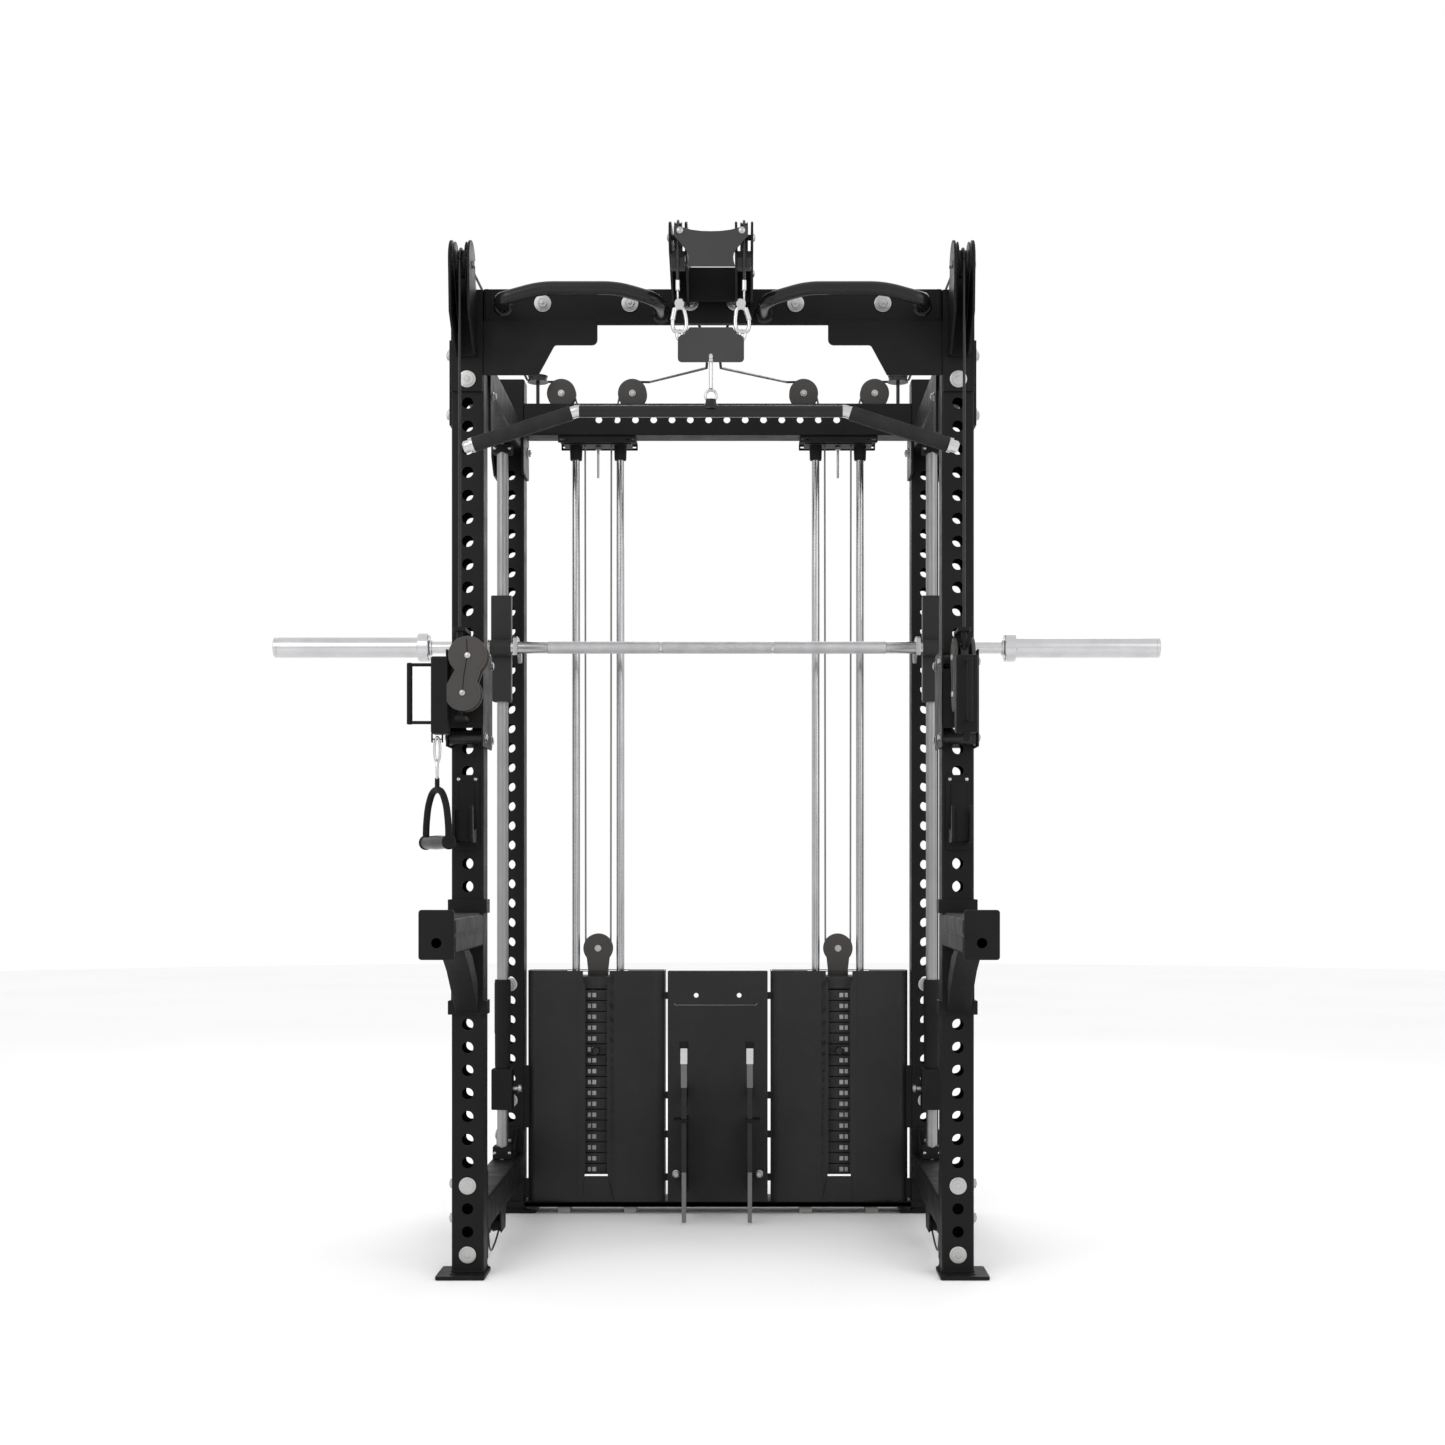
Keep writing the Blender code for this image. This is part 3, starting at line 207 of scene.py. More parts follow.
def metal(name, colour, roughness, stretch=(1, 1, 1), relief=0.02, grain=500, mottle=0.08):
    """Bare or plated steel with drawn streaks along one axis and slight clouding."""
    g = Graph(name)
    streaks = g.noise(grain, 2.0, stretch)
    clouds = g.noise(18.0, 4.0)
    g.set("Base Color", g.mix(g.spread(clouds, 0.0, 1.0), shade(colour, 1 - mottle),
                              shade(colour, 1 + mottle / 2)))
    g.set("Roughness", g.spread(streaks, roughness * 0.8, roughness * 1.25))
    g.set("Metallic", 1.0)
    g.set("Normal", g.bump(streaks, relief, 0.0003))
    return g.material


def knurled(name, colour):
    """Diamond knurling round a bar that lies along X: two helical wave sets crossing."""
    g = Graph(name)
    split = g.add("ShaderNodeSeparateXYZ", [("Vector", g.coords)])
    dy = g.add("ShaderNodeMath", [(0, split.outputs["Y"]), (1, at(BAR_DEPTH))],
               operation="SUBTRACT").outputs[0]
    dz = g.add("ShaderNodeMath", [(0, split.outputs["Z"]), (1, BAR_Z)], operation="SUBTRACT").outputs[0]
    angle = g.add("ShaderNodeMath", [(0, dy), (1, dz)], operation="ARCTAN2").outputs[0]
    ridges = []
    for turn in (40.0, -40.0):
        along = g.add("ShaderNodeMath", [(0, split.outputs["X"]), (1, 2600.0), (2, g.times(angle, turn))],
                      operation="MULTIPLY_ADD").outputs[0]
        ridges.append(g.add("ShaderNodeMath", [(0, along)], operation="SINE").outputs[0])
    height = g.add("ShaderNodeMath", [(0, ridges[0]), (1, ridges[1])], operation="ADD").outputs[0]
    g.set("Base Color", g.mix(g.spread(g.noise(30.0), 0.0, 1.0), shade(colour, 0.85), shade(colour, 1.0)))
    g.set("Metallic", 1.0)
    g.set("Roughness", g.spread(g.noise(400.0), 0.26, 0.38))
    g.set("Normal", g.bump(height, 0.5, 0.0003))
    return g.material


def ribbed_rubber(name, colour):
    """Moulded grip rubber: fine rings along X over a matt pebble."""
    g = Graph(name)
    split = g.add("ShaderNodeSeparateXYZ", [("Vector", g.coords)])
    rings = g.add("ShaderNodeMath", [(0, g.times(split.outputs["X"], 1900.0))], operation="SINE").outputs[0]
    pebble = g.bump(g.noise(1500.0, 2.0), 0.15, 0.0003)
    g.set("Base Color", g.mix(g.spread(g.noise(15.0), 0.0, 1.0), shade(colour, 0.8), shade(colour, 1.3)))
    g.set("Roughness", g.spread(g.noise(50.0), 0.58, 0.75))
    g.set("Specular IOR Level", 0.3)
    g.set("Normal", g.bump(rings, 0.25, 0.0005, pebble))
    return g.material


def cast(name, colour):
    """Painted cast iron: coarse sand texture under the paint, and a painted highlight on the plate edges."""
    g = Graph(name)
    sand = g.bump(g.noise(260.0, 5.0), 0.35, 0.0008)
    # Painted edge highlight: an edge mask times patchy noise, mixed towards a pale grey.
    painted_edge_highlight = g.times(g.edges(0.002), g.spread(g.noise(90.0), 0.1, 0.5))
    base = g.mix(g.spread(g.noise(9.0, 5.0), 0.0, 1.0), shade(colour, 0.7), shade(colour, 1.4))
    g.set("Base Color", g.mix(painted_edge_highlight, base, (0.09, 0.09, 0.09, 1.0)))
    g.set("Roughness", g.spread(g.noise(80.0), 0.48, 0.66))
    g.set("Specular IOR Level", 0.35)
    g.set("Normal", sand)
    return g.material


# Where a look gives an edge strength, that value sets its painted edge highlight.
LOOKS = {
    "powder": coated("black_powder_coat", (0.0070, 0.0070, 0.0073), 0.50, gloss=0.14),
    "sheet": coated("dark_grey_sheet", (0.024, 0.024, 0.024), 0.55, grain=700, gloss=0.14,
                    mottle=0.10, edge_highlight_strength=0.15),
    "cover": coated("warm_grey_cover", (0.055, 0.051, 0.048), 0.55, grain=1200, gloss=0.20, mottle=0.10),
    "coupler": coated("mid_grey_coat", (0.040, 0.040, 0.040), 0.50, gloss=0.20, mottle=0.08),
    "gloss_black": coated("gloss_black_plastic", (0.009, 0.009, 0.009), 0.22, relief=0.02,
                          gloss=0.3, edge_highlight_strength=0.1),
    "edge_grey": coated("grey_edge_coat", (0.15, 0.15, 0.15), 0.50, gloss=0.25, mottle=0.15),
    "label": coated("plain_pale_sticker", (0.36, 0.36, 0.36), 0.45, relief=0.02, mottle=0.25, edge_highlight_strength=0.0),
    "foot": coated("pale_grey_foot", (0.34, 0.34, 0.33), 0.55, gloss=0.3),
    "nylon": coated("black_nylon", (0.014, 0.014, 0.014), 0.38, grain=400, relief=0.05, gloss=0.25),
    "cable": coated("cable_jacket", (0.012, 0.012, 0.013), 0.35, grain=2200, relief=0.12,
                    gloss=0.3, edge_highlight_strength=0.0),
    "wire": coated("pale_cable_jacket", (0.16, 0.16, 0.16), 0.35, grain=2200, relief=0.12,
                   gloss=0.4, edge_highlight_strength=0.0),
    "rubber": coated("black_rubber", (0.008, 0.008, 0.008), 0.70, grain=1500, relief=0.25,
                     gloss=0.15, edge_highlight_strength=0.05),
    "rubber_ribbed": ribbed_rubber("ribbed_grip_rubber", (0.009, 0.009, 0.009)),
    "iron": cast("painted_cast_iron", (0.014, 0.014, 0.014)),
    "chrome": metal("hard_chrome", (0.46, 0.46, 0.47), 0.16, (1, 1, 0.02), relief=0.003),
    "chrome_bar": metal("polished_sleeve_chrome", (0.58, 0.58, 0.59), 0.22, (0.02, 1, 1), relief=0.01),
    "knurl": knurled("knurled_chrome", (0.54, 0.54, 0.55)),
    "zinc": metal("bright_zinc", (0.48, 0.48, 0.47), 0.34, relief=0.05, grain=900, mottle=0.2),
    "rail": metal("ground_rail_steel", (0.30, 0.30, 0.30), 0.42, (1, 1, 0.02), relief=0.01),
}


# ---------------------------------------------------------------- shape helpers
def facing_front(y):
    """Placement for an outline given as (X, Z), standing at this Y."""
    return Matrix.Translation((0, y, 0)) @ Matrix.Rotation(math.radians(90), 4, "X")


def facing_side(x):
    """Placement for an outline given as (Y, Z), standing at this X."""
    return Matrix(((0, 0, 1, x), (1, 0, 0, 0), (0, 1, 0, 0), (0, 0, 0, 1)))


def facing_up(z):
    """Placement for an outline given as (X, Y), lying at this Z."""
    return Matrix.Translation((0, 0, z))


def arc(centre, radius, start, end, steps=12):
    """Points round part of a circle, angles in degrees."""
    angles = [math.radians(start + (end - start) * step / steps) for step in range(steps + 1)]
    return [(centre[0] + radius * math.cos(a), centre[1] + radius * math.sin(a)) for a in angles]


def rectangle(u, v, corner=0.004):
    """A rectangle with rounded corners."""
    (left, right), (low, high) = u, v
    spots = ((right, high, 0), (left, high, 90), (left, low, 180), (right, low, 270))
    points = []
    for x, y, start in spots:
        cx = x - corner if x == right else x + corner
        cy = y - corner if y == high else y + corner
        points += arc((cx, cy), corner, start, start + 90, 4)
    return points


def eased(points, radius, steps=6, closed=False):
    """The path with each corner rounded off by a smooth bend."""
    knots = [Vector(point) for point in points]
    path = [] if closed else [knots[0]]
    corners = range(len(knots)) if closed else range(1, len(knots) - 1)
    for index in corners:
        before, corner, after = knots[index - 1], knots[index], knots[(index + 1) % len(knots)]
        reach = min(radius, (before - corner).length * 0.49, (after - corner).length * 0.49)
        start = corner + (before - corner).normalized() * reach
        end = corner + (after - corner).normalized() * reach
        for step in range(steps + 1):
            t = step / steps
            path.append(start * (1 - t) ** 2 + corner * (2 * t * (1 - t)) + end * t ** 2)
    return path if closed else path + [knots[-1]]


class Shape:
    """Collects shaped solids of one material into one mesh."""

    def __init__(self):
        self.bm = bmesh.new()

    def take(self, other):
        """Move another bmesh's geometry into this one."""
        mesh = bpy.data.meshes.new("part")
        other.to_mesh(mesh)
        other.free()
        self.bm.from_mesh(mesh)
        bpy.data.meshes.remove(mesh)
        return self

    def block(self, x, y, z, bevel=0.0012):
        bm = bmesh.new()
        size = [max(pair) - min(pair) for pair in (x, y, z)]
        middle = [sum(pair) / 2 for pair in (x, y, z)]
        bmesh.ops.create_cube(bm, size=1.0, matrix=Matrix.Translation(middle) @ Matrix.Diagonal((*size, 1)))
        if bevel:
            bmesh.ops.bevel(bm, geom=bm.edges[:], offset=min(bevel, min(size) * 0.4), segments=2, profile=0.5,
                            affect="EDGES")
        return self.take(bm)

    def turn(self, profile, centre, axis, sides=40):
        """Turn (radius, station) pairs round an axis; the profile ends on the axis or closes on itself."""
        bm = bmesh.new()
        ring = [bm.verts.new((radius, 0, station)) for radius, station in profile]
        for low, high in zip(ring, ring[1:]):
            bm.edges.new((low, high))
        if profile[0][0] > 1e-6:
            bm.edges.new((ring[-1], ring[0]))
        bmesh.ops.spin(bm, geom=bm.verts[:] + bm.edges[:], cent=(0, 0, 0), axis=(0, 0, 1), dvec=(0, 0, 0),
                       angle=2 * math.pi, steps=sides, use_merge=True)
        bmesh.ops.remove_doubles(bm, verts=bm.verts, dist=1e-6)
        bmesh.ops.recalc_face_normals(bm, faces=bm.faces)
        tilt = Vector((0, 0, 1)).rotation_difference(Vector(axis)).to_matrix().to_4x4()
        bmesh.ops.transform(bm, matrix=Matrix.Translation(centre) @ tilt, verts=bm.verts)
        return self.take(bm)

    def bar(self, start, end, radius, chamfer=0.0008, sides=32):
        """A round bar between two points with chamfered ends."""
        along = Vector(end) - Vector(start)
        cut = min(chamfer, radius * 0.5, along.length * 0.3)
        profile = [(0, 0), (radius - cut, 0), (radius, cut), (radius, along.length - cut),
                   (radius - cut, along.length), (0, along.length)]
        return self.turn(profile, start, along, sides)

    def curve(self, splines, place, closed, **settings):
        data = bpy.data.curves.new("outline", "CURVE")
        for key, value in settings.items():
            setattr(data, key, value)
        for points in splines:
            spline = data.splines.new("POLY")
            spline.points.add(len(points) - 1)
            for knot, point in zip(spline.points, points):
                knot.co = (*point, *(0.0,) * (3 - len(point)), 1.0)
            spline.use_cyclic_u = closed
        obj = bpy.data.objects.new("outline", data)
        bpy.context.collection.objects.link(obj)
        bpy.context.view_layer.update()
        mesh = bpy.data.meshes.new_from_object(obj.evaluated_get(bpy.context.evaluated_depsgraph_get()))
        bm = bmesh.new()
        bm.from_mesh(mesh)
        bmesh.ops.remove_doubles(bm, verts=bm.verts, dist=2e-6)
        bmesh.ops.recalc_face_normals(bm, faces=bm.faces)
        bmesh.ops.transform(bm, matrix=place, verts=bm.verts)
        bpy.data.objects.remove(obj, do_unlink=True)
        return self.take(bm)

    def plate(self, outline, thickness, place, holes=(), bevel=0.0006):
        """A flat plate with softened edges. Holes are more outlines in the same plane."""
        bevel = min(bevel, thickness * 0.3)
        return self.curve([outline, *holes], place, True, dimensions="2D", fill_mode="BOTH",
                          extrude=thickness / 2 - bevel, bevel_depth=bevel, bevel_resolution=1, offset=-bevel)

    def pipe(self, points, radius, closed=False, resolution=5):
        """A bent round bar or cable along the points."""
        return self.curve([points], Matrix.Identity(4), closed, dimensions="3D", bevel_depth=radius,
                          bevel_resolution=resolution, use_fill_caps=not closed)

    def tube_along(self, axis, across, up, span, corner=0.006, wall=WALL):
        """A hollow rounded rectangular tube along x, y or z. across and up are its other two ranges."""
        outer = rectangle(across, up, corner)
        inner = rectangle((across[0] + wall, across[1] - wall), (up[0] + wall, up[1] - wall),
                          corner - wall / 2)
        middle = sum(span) / 2
        place = {"x": facing_side, "y": facing_front, "z": facing_up}[axis](middle)
        return self.plate(outer, abs(span[1] - span[0]), place, [inner], bevel=0.0002)

    def prism(self, centre, axis, radius, height, sides=6):
        """A regular prism such as a nut or bolt head, with a slight chamfer."""
        cut = height * 0.15
        profile = [(0, 0), (radius, 0), (radius, height - cut), (radius - cut, height), (0, height)]
        return self.turn(profile, centre, axis, sides)

    def bolt(self, centre, axis, washer=0.018, head=0.0105, socket=True):
        """A large flange washer under a low round or hexagonal head."""
        axis = Vector(axis).normalized()
        self.turn([(0, 0), (washer, 0), (washer, 0.0022), (washer - 0.0012, 0.003), (0, 0.003)], centre, axis)
        seat = Vector(centre) + axis * 0.003
        if socket:
            self.prism(seat, axis, head, 0.005)
            self.turn([(0, 0), (head * 0.45, 0), (head * 0.40, 0.0016), (0, 0.0022)], seat + axis * 0.005,
                      axis, 24)
        else:
            self.turn([(0, 0), (washer - 0.004, 0), (washer - 0.0045, 0.0012), (washer * 0.35, 0.0014),
                       (washer * 0.30, 0.0024), (0, 0.0026)], seat, axis)
        return self

    def button(self, centre, axis, radius=0.0055, height=0.003):
        """A domed button-head screw."""
        profile = [(0, 0), (radius, 0)]
        profile += [(radius * math.cos(math.radians(a)), height * math.sin(math.radians(a)))
                    for a in range(15, 90, 15)]
        return self.turn([*profile, (0, height)], centre, axis, 28)

    def drill(self, bars, sides=28):
        """Cut round holes, each (start, end, radius)."""
        cutter = Shape()
        for start, end, radius in bars:
            cutter.bar(start, end, radius, 0.0, sides)
        tool = cutter.as_object("cutter")
        body = self.as_object("drilled")
        modifier = body.modifiers.new("holes", "BOOLEAN")
        modifier.operation = "DIFFERENCE"
        modifier.object = tool
        bpy.context.view_layer.update()
        mesh = bpy.data.meshes.new_from_object(body.evaluated_get(bpy.context.evaluated_depsgraph_get()))
        self.bm = bmesh.new()
        self.bm.from_mesh(mesh)
        for obj in (tool, body):
            bpy.data.objects.remove(obj, do_unlink=True)
        return self

    def moved(self, matrix):
        bmesh.ops.transform(self.bm, matrix=matrix, verts=self.bm.verts)
        return self

    def mirrored(self):
        """The same shape on the left side."""
        bmesh.ops.transform(self.bm, matrix=Matrix.Diagonal((-1, 1, 1, 1)), verts=self.bm.verts)
        bmesh.ops.reverse_faces(self.bm, faces=self.bm.faces)
        return self

    def as_object(self, name):
        mesh = bpy.data.meshes.new(name)
        self.bm.to_mesh(mesh)
        self.bm.free()
        obj = bpy.data.objects.new(name, mesh)
        bpy.context.collection.objects.link(obj)
        return obj


def piece(name, shape, look, body="frame", stands_for=()):
    """Turn a shape into a finished piece that moves with a body and stands for CAD nodes."""
    obj = shape.as_object(name)
    obj.data.materials.append(LOOKS[look])
    obj.data.shade_smooth()
    obj.data.set_sharp_from_angle(angle=math.radians(38))
    weighted = obj.modifiers.new("even_shading", "WEIGHTED_NORMAL")
    weighted.keep_sharp = True
    if body:
        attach(obj, body)
    if stands_for:
        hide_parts(*stands_for)
    return obj


def pair(name, build, look, body="frame", nodes=()):
    """The same piece on both sides; body and nodes may hold {side}."""
    for side in ("left", "right"):
        shape = build()
        if side == "left":
            shape.mirrored()
        piece(f"{name}_{side}", shape, look, body.format(side=side),
              [node.format(side=side) for node in nodes])


# ---------------------------------------------------------------- uprights and base
def upright(depth, inboard, toe_in_front):
    """Rounded square tube with through holes, its foot plate and weld; its top plug is a separate piece."""
    y = (at(depth), at(depth + TUBE))
    shape = Shape()
    shape.tube_along("z", (UPRIGHT_X - TUBE / 2, UPRIGHT_X + TUBE / 2), y, (0.008, UPRIGHT_TOP - 0.001))
    shape.drill([((UPRIGHT_X, y[0] - 0.01, z), (UPRIGHT_X, y[1] + 0.01, z), HOLE_RADIUS)
                 for z in HOLE_HEIGHTS])
    toes = (y[0] - FOOT_TOE, y[1]) if toe_in_front else (y[0], y[1] + FOOT_TOE)
    foot = rectangle((INNER_X - inboard, OUTER_X + FOOT_OVERHANG), toes, 0.006)
    anchor_y = toes[0] + 0.022 if toe_in_front else toes[1] - 0.022
    eyes = [arc((UPRIGHT_X + offset, anchor_y), 0.006, 0, 345, 23) for offset in (-0.020, 0.030)]
    shape.plate(foot, 0.008, facing_up(0.004), eyes, bevel=0.001)
    weld = rectangle((INNER_X - 0.002, OUTER_X + 0.002), (y[0] - 0.002, y[1] + 0.002), 0.008)
    shape.plate(weld, 0.005, facing_up(0.0095), bevel=0.002)
    return shape


def upright_plug(depth):
    shape = Shape()
    x = (INNER_X + 0.001, OUTER_X - 0.001)
    shape.block(x, (at(depth + 0.001), at(depth + TUBE - 0.001)), (UPRIGHT_TOP - 0.006, UPRIGHT_TOP - 0.0002),
                0.002)
    return shape


def base_frame():
    """Floor strip under the stacks and the two side tubes with their flanges."""
    shape = Shape()
    low, high = FLOOR_STRIP_Z
    shape.block((-INNER_X, INNER_X), (at(0.756), at(0.873)), (low, high), 0.002)
    shape.block((-UPRIGHT_X, UPRIGHT_X), (at(0.756), at(REAR_DEPTH - 0.001)), (low, high), 0.001)
    for side in (-1, 1):
        half = TUBE / 2
        x = sorted((side * (UPRIGHT_X - half), side * (UPRIGHT_X + half)))
        shape.tube_along("y", x, BASE_BEAM_Z, (at(TUBE + 0.0003), at(REAR_DEPTH - 0.0003)))
        for depth in (TUBE + 0.0003, REAR_DEPTH - 0.0083):
            flange = rectangle(x, (low, 0.222), 0.008)
            shape.plate(flange, 0.008, facing_front(at(depth + 0.004)), bevel=0.001)
        gusset = [(at(0.640), 0.156), (at(0.7605), 0.156), (at(0.7605), 0.218), (at(0.745), 0.218)]
        shape.plate(gusset, 0.005, facing_side(side * (UPRIGHT_X - 0.020)))
    return shape


def low_pulley():
    """Small housing under the side tube near the floor, with its guide wheel."""
    shape = Shape()
    housing = [(at(0.330), 0.086), (at(0.430), 0.086), (at(0.418), 0.030), (at(0.345), 0.030)]
    for x in (0.503, 0.530):
        shape.plate(housing, 0.003, facing_side(x))
    shape.turn([(0, 0), (0.022, 0), (0.019, 0.010), (0.022, 0.020), (0, 0.020)], (0.5065, at(0.380), 0.048),
               (1, 0, 0))
    return shape


def low_cable():
    """Short tail from the low housing forward to its clip near the front foot."""
    shape = Shape()
    path = eased([(0.512, at(0.372), 0.031), (0.511, at(0.300), 0.016), (0.509, at(0.215), 0.012),
                  (0.507, at(0.165), 0.030), (0.507, at(0.150), 0.060), (0.507, at(0.150), 0.084)], 0.03)
    shape.pipe(path, 0.0022)
    shape.bar((0.507, at(0.150), 0.066), (0.507, at(0.150), 0.086), 0.005)
    return shape


def stack_feet():
    """Pale feet under the floor strip."""
    shape = Shape()
    for side in (-1, 1):
        for offset in (-0.085, 0.085):
            x = side * STACK_X + offset
            shape.block((x - 0.016, x + 0.016), (at(0.775), at(0.860)), (0.0, FLOOR_STRIP_Z[0]), 0.002)
    return shape


pair("upright_front", lambda: upright(0.0, 0.007, True), "powder", nodes=["upright_front_{side}"])
pair("upright_rear", lambda: upright(REAR_DEPTH, 0.030, False), "powder", nodes=["upright_rear_{side}"])
pair("upright_plug_front", lambda: upright_plug(0.0), "nylon")
pair("upright_plug_rear", lambda: upright_plug(REAR_DEPTH), "nylon")
piece("base_tubes", base_frame(), "powder", stands_for=["base_frame"])
piece("stack_feet", stack_feet(), "foot")
pair("low_pulley_housing", low_pulley, "powder")
pair("low_cable_tail", low_cable, "cable")


# ---------------------------------------------------------------- side beams
def top_side_beam():
    """Side tube between the uprights with the ears that lap them."""
    shape = Shape()
    x = (UPRIGHT_X - TUBE / 2, UPRIGHT_X + TUBE / 2)
    shape.tube_along("y", x, SIDE_BEAM_Z, (at(TUBE + 0.0003), at(REAR_DEPTH - 0.0003)))
    inner, outer = INNER_X - 0.0033, OUTER_X + 0.0033
    shape.plate(rectangle((at(0.0712), at(0.130)), (1.850, 2.035), 0.010), 0.006, facing_side(inner))
    shape.plate(rectangle((at(0.705), at(0.830)), (1.890, 1.9987), 0.012), 0.006, facing_side(inner))
    front = [(at(0.012), 1.850), (at(0.100), 1.850), (at(0.130), 1.890), (at(0.130), 2.035),
             (at(0.012), 2.035)]
    shape.plate(front, 0.006, facing_side(outer))
    rear = [(at(0.705), 1.930), (at(0.750), 1.890), (at(0.830), 1.890), (at(0.830), 2.130),
            (at(0.772), 2.130), (at(0.705), 2.035)]
    shape.plate(rear, 0.006, facing_side(outer))
    return shape


def side_bolts():
    """Bolts through the uprights' outer and inner sides."""
    shape = Shape()
    for z in (2.007, 1.877):
        shape.bolt((OUTER_X + 0.0063, at(0.035), z), (1, 0, 0), 0.016, 0.010)
    for z in (2.100, 1.958):
        shape.bolt((OUTER_X + 0.0063, at(REAR_DEPTH + 0.030), z), (1, 0, 0), 0.016, 0.010)
    shape.bolt((INNER_X - 0.0063, at(REAR_DEPTH + 0.030), 1.958), (-1, 0, 0), 0.014, 0.009)
    shape.bolt((INNER_X - 0.0063, at(0.104), 1.935), (-1, 0, 0), 0.010, 0.007)
    for depth in (0.035, REAR_DEPTH + 0.035):
        for z in (0.121, 0.196):
            shape.bolt((OUTER_X, at(depth), z), (1, 0, 0), 0.016, 0.010)
    return shape


def front_bolts():
    """Capped bolts on the uprights' front faces."""
    shape = Shape()
    for z in (0.046, 0.196):
        shape.bolt((UPRIGHT_X, at(0.0), z), (0, -1, 0), 0.0185, socket=False)
    shape.bolt((UPRIGHT_X, at(-0.0063), 1.946), (0, -1, 0), 0.0185, socket=False)
    for z, reach in ((0.588, 0.0), (0.290, 0.001), (0.188, 0.0)):
        shape.bolt((UPRIGHT_X - reach, at(REAR_DEPTH), z), (0, -1, 0), 0.0175)
    for z in (0.188, 0.290, 1.946):
        shape.bolt((UPRIGHT_X, at(REAR_DEPTH + TUBE), z), (0, 1, 0), 0.0175)
    return shape


pair("top_side_tube", top_side_beam, "powder", nodes=["top_side_beam_{side}"])
pair("side_bolts", side_bolts, "zinc")
pair("front_bolts", front_bolts, "zinc")


# ---------------------------------------------------------------- front crossbeam
def front_crossbeam():
    """Face plate and tube of the beam between the front uprights, with its stepped corner plates."""
    shape = Shape()
    low, high = FRONT_BEAM_Z
    span = INNER_X - 0.0003
    shape.block((-span, span), (at(-0.002), at(0.006)), (low, high), 0.002)
    shape.block((-span, span), (at(0.005), at(TUBE + 0.002)), (FRONT_BEAM_TUBE_LOW, high), 0.004)
    for side in (-1, 1):
        edge = INNER_X - 0.0015
        gusset = [
            (edge, 1.955), (edge, 2.073), (0.250, 2.073), *arc((0.262, 2.032), 0.012, 180, 270, 6),
            *arc((0.338, 2.012), 0.008, 90, 30, 3), (0.378, 1.955),
        ]
        lap = rectangle((INNER_X + 0.0015, OUTER_X), (1.920, 2.115), 0.003)
        for outline in (gusset, lap):
            shape.plate([(side * x, z) for x, z in outline], 0.006, facing_front(at(-0.0033)), bevel=0.0008)
        joint = sorted((side * (INNER_X - 0.004), side * (INNER_X + 0.004)))
        shape.block(joint, (at(-0.0025), at(-0.0005)), (1.957, 2.071), 0.0004)
        seam = sorted((side * (INNER_X - 0.012), side * (INNER_X - 0.004)))
        shape.block(seam, (at(-0.0055), at(0.0)), (2.077, high - 0.001), 0.001)
    return shape


def pull_up_grip():
    """Bent grip tube that stands out from the beam, with flat welded feet."""
    shape = Shape()
    knots = [(0.455, 0.000, 2.104), (0.4545, -0.060, 2.100), (0.4440, -0.100, 2.0930),
             (0.3644, -0.100, 2.1150), (0.2002, -0.100, 2.1150), (0.1290, -0.100, 2.0940),
             (0.1120, -0.075, 2.0900), (0.1110, 0.000, 2.0880)]
    shape.pipe(eased([(x, at(depth), z) for x, depth, z in knots], 0.030, 8), 0.0145, resolution=7)
    for x, z in ((0.455, 2.104), (0.111, 2.088)):
        shape.turn([(0, 0), (0.021, 0), (0.017, 0.004), (0, 0.006)], (x, at(-0.002), z), (0, -1, 0))
    return shape


def top_pulley_cheeks():
    """Tall plates that carry the top pulley, thin cable guards inside them, and the web at their back."""
    shape = Shape()
    depth, z = TOP_PULLEY
    outline = [(at(-0.0066), 1.994), (at(-0.0066), 2.112), (at(-0.040), 2.160)]
    outline += arc((at(depth), z), 0.050, 25, 180, 14)
    outline += [(at(depth - 0.040), 2.060), (at(-0.046), 1.994)]
    guard = [(at(-0.012), 2.030), (at(-0.012), 2.120), *arc((at(depth), z), 0.047, 25, 180, 14),
             (at(-0.070), 2.060)]
    for face in (-1, 1):
        shape.plate(outline, 0.005, facing_side(UPRIGHT_X + face * 0.020))
        shape.plate(guard, 0.002, facing_side(UPRIGHT_X + face * 0.0120))
    shape.block((UPRIGHT_X - 0.018, UPRIGHT_X + 0.018), (at(-0.0123), at(-0.0066)), (1.994, 2.180), 0.001)
    return shape


def top_pulley_screws():
    shape = Shape()
    depth, z = TOP_PULLEY
    for face in (-1, 1):
        shape.prism((UPRIGHT_X + face * 0.0225, at(depth), z), (face, 0, 0), 0.0085, 0.006)
    return shape


def beam_bolts():
    """Large bolts through the front crossbeam."""
    shape = Shape()
    for x in (-0.369, -0.1795, -0.049, 0.049, 0.1795, 0.369):
        front = -0.0103 if abs(x) < 0.08 else -0.002
        shape.bolt((x, at(front), 2.111), (0, -1, 0), 0.0185)
        shape.prism((x, at(TUBE + 0.0083 if abs(x) < 0.08 else TUBE + 0.002), 2.111), (0, 1, 0), 0.0130,
                    0.008)
    return shape


piece("front_beam", front_crossbeam(), "powder", stands_for=["front_crossbeam"])
pair("pull_up_grip", pull_up_grip, "gloss_black")
pair("top_pulley_cheeks", top_pulley_cheeks, "powder")
pair("top_pulley_screws", top_pulley_screws, "zinc")
piece("beam_bolts", beam_bolts(), "zinc")


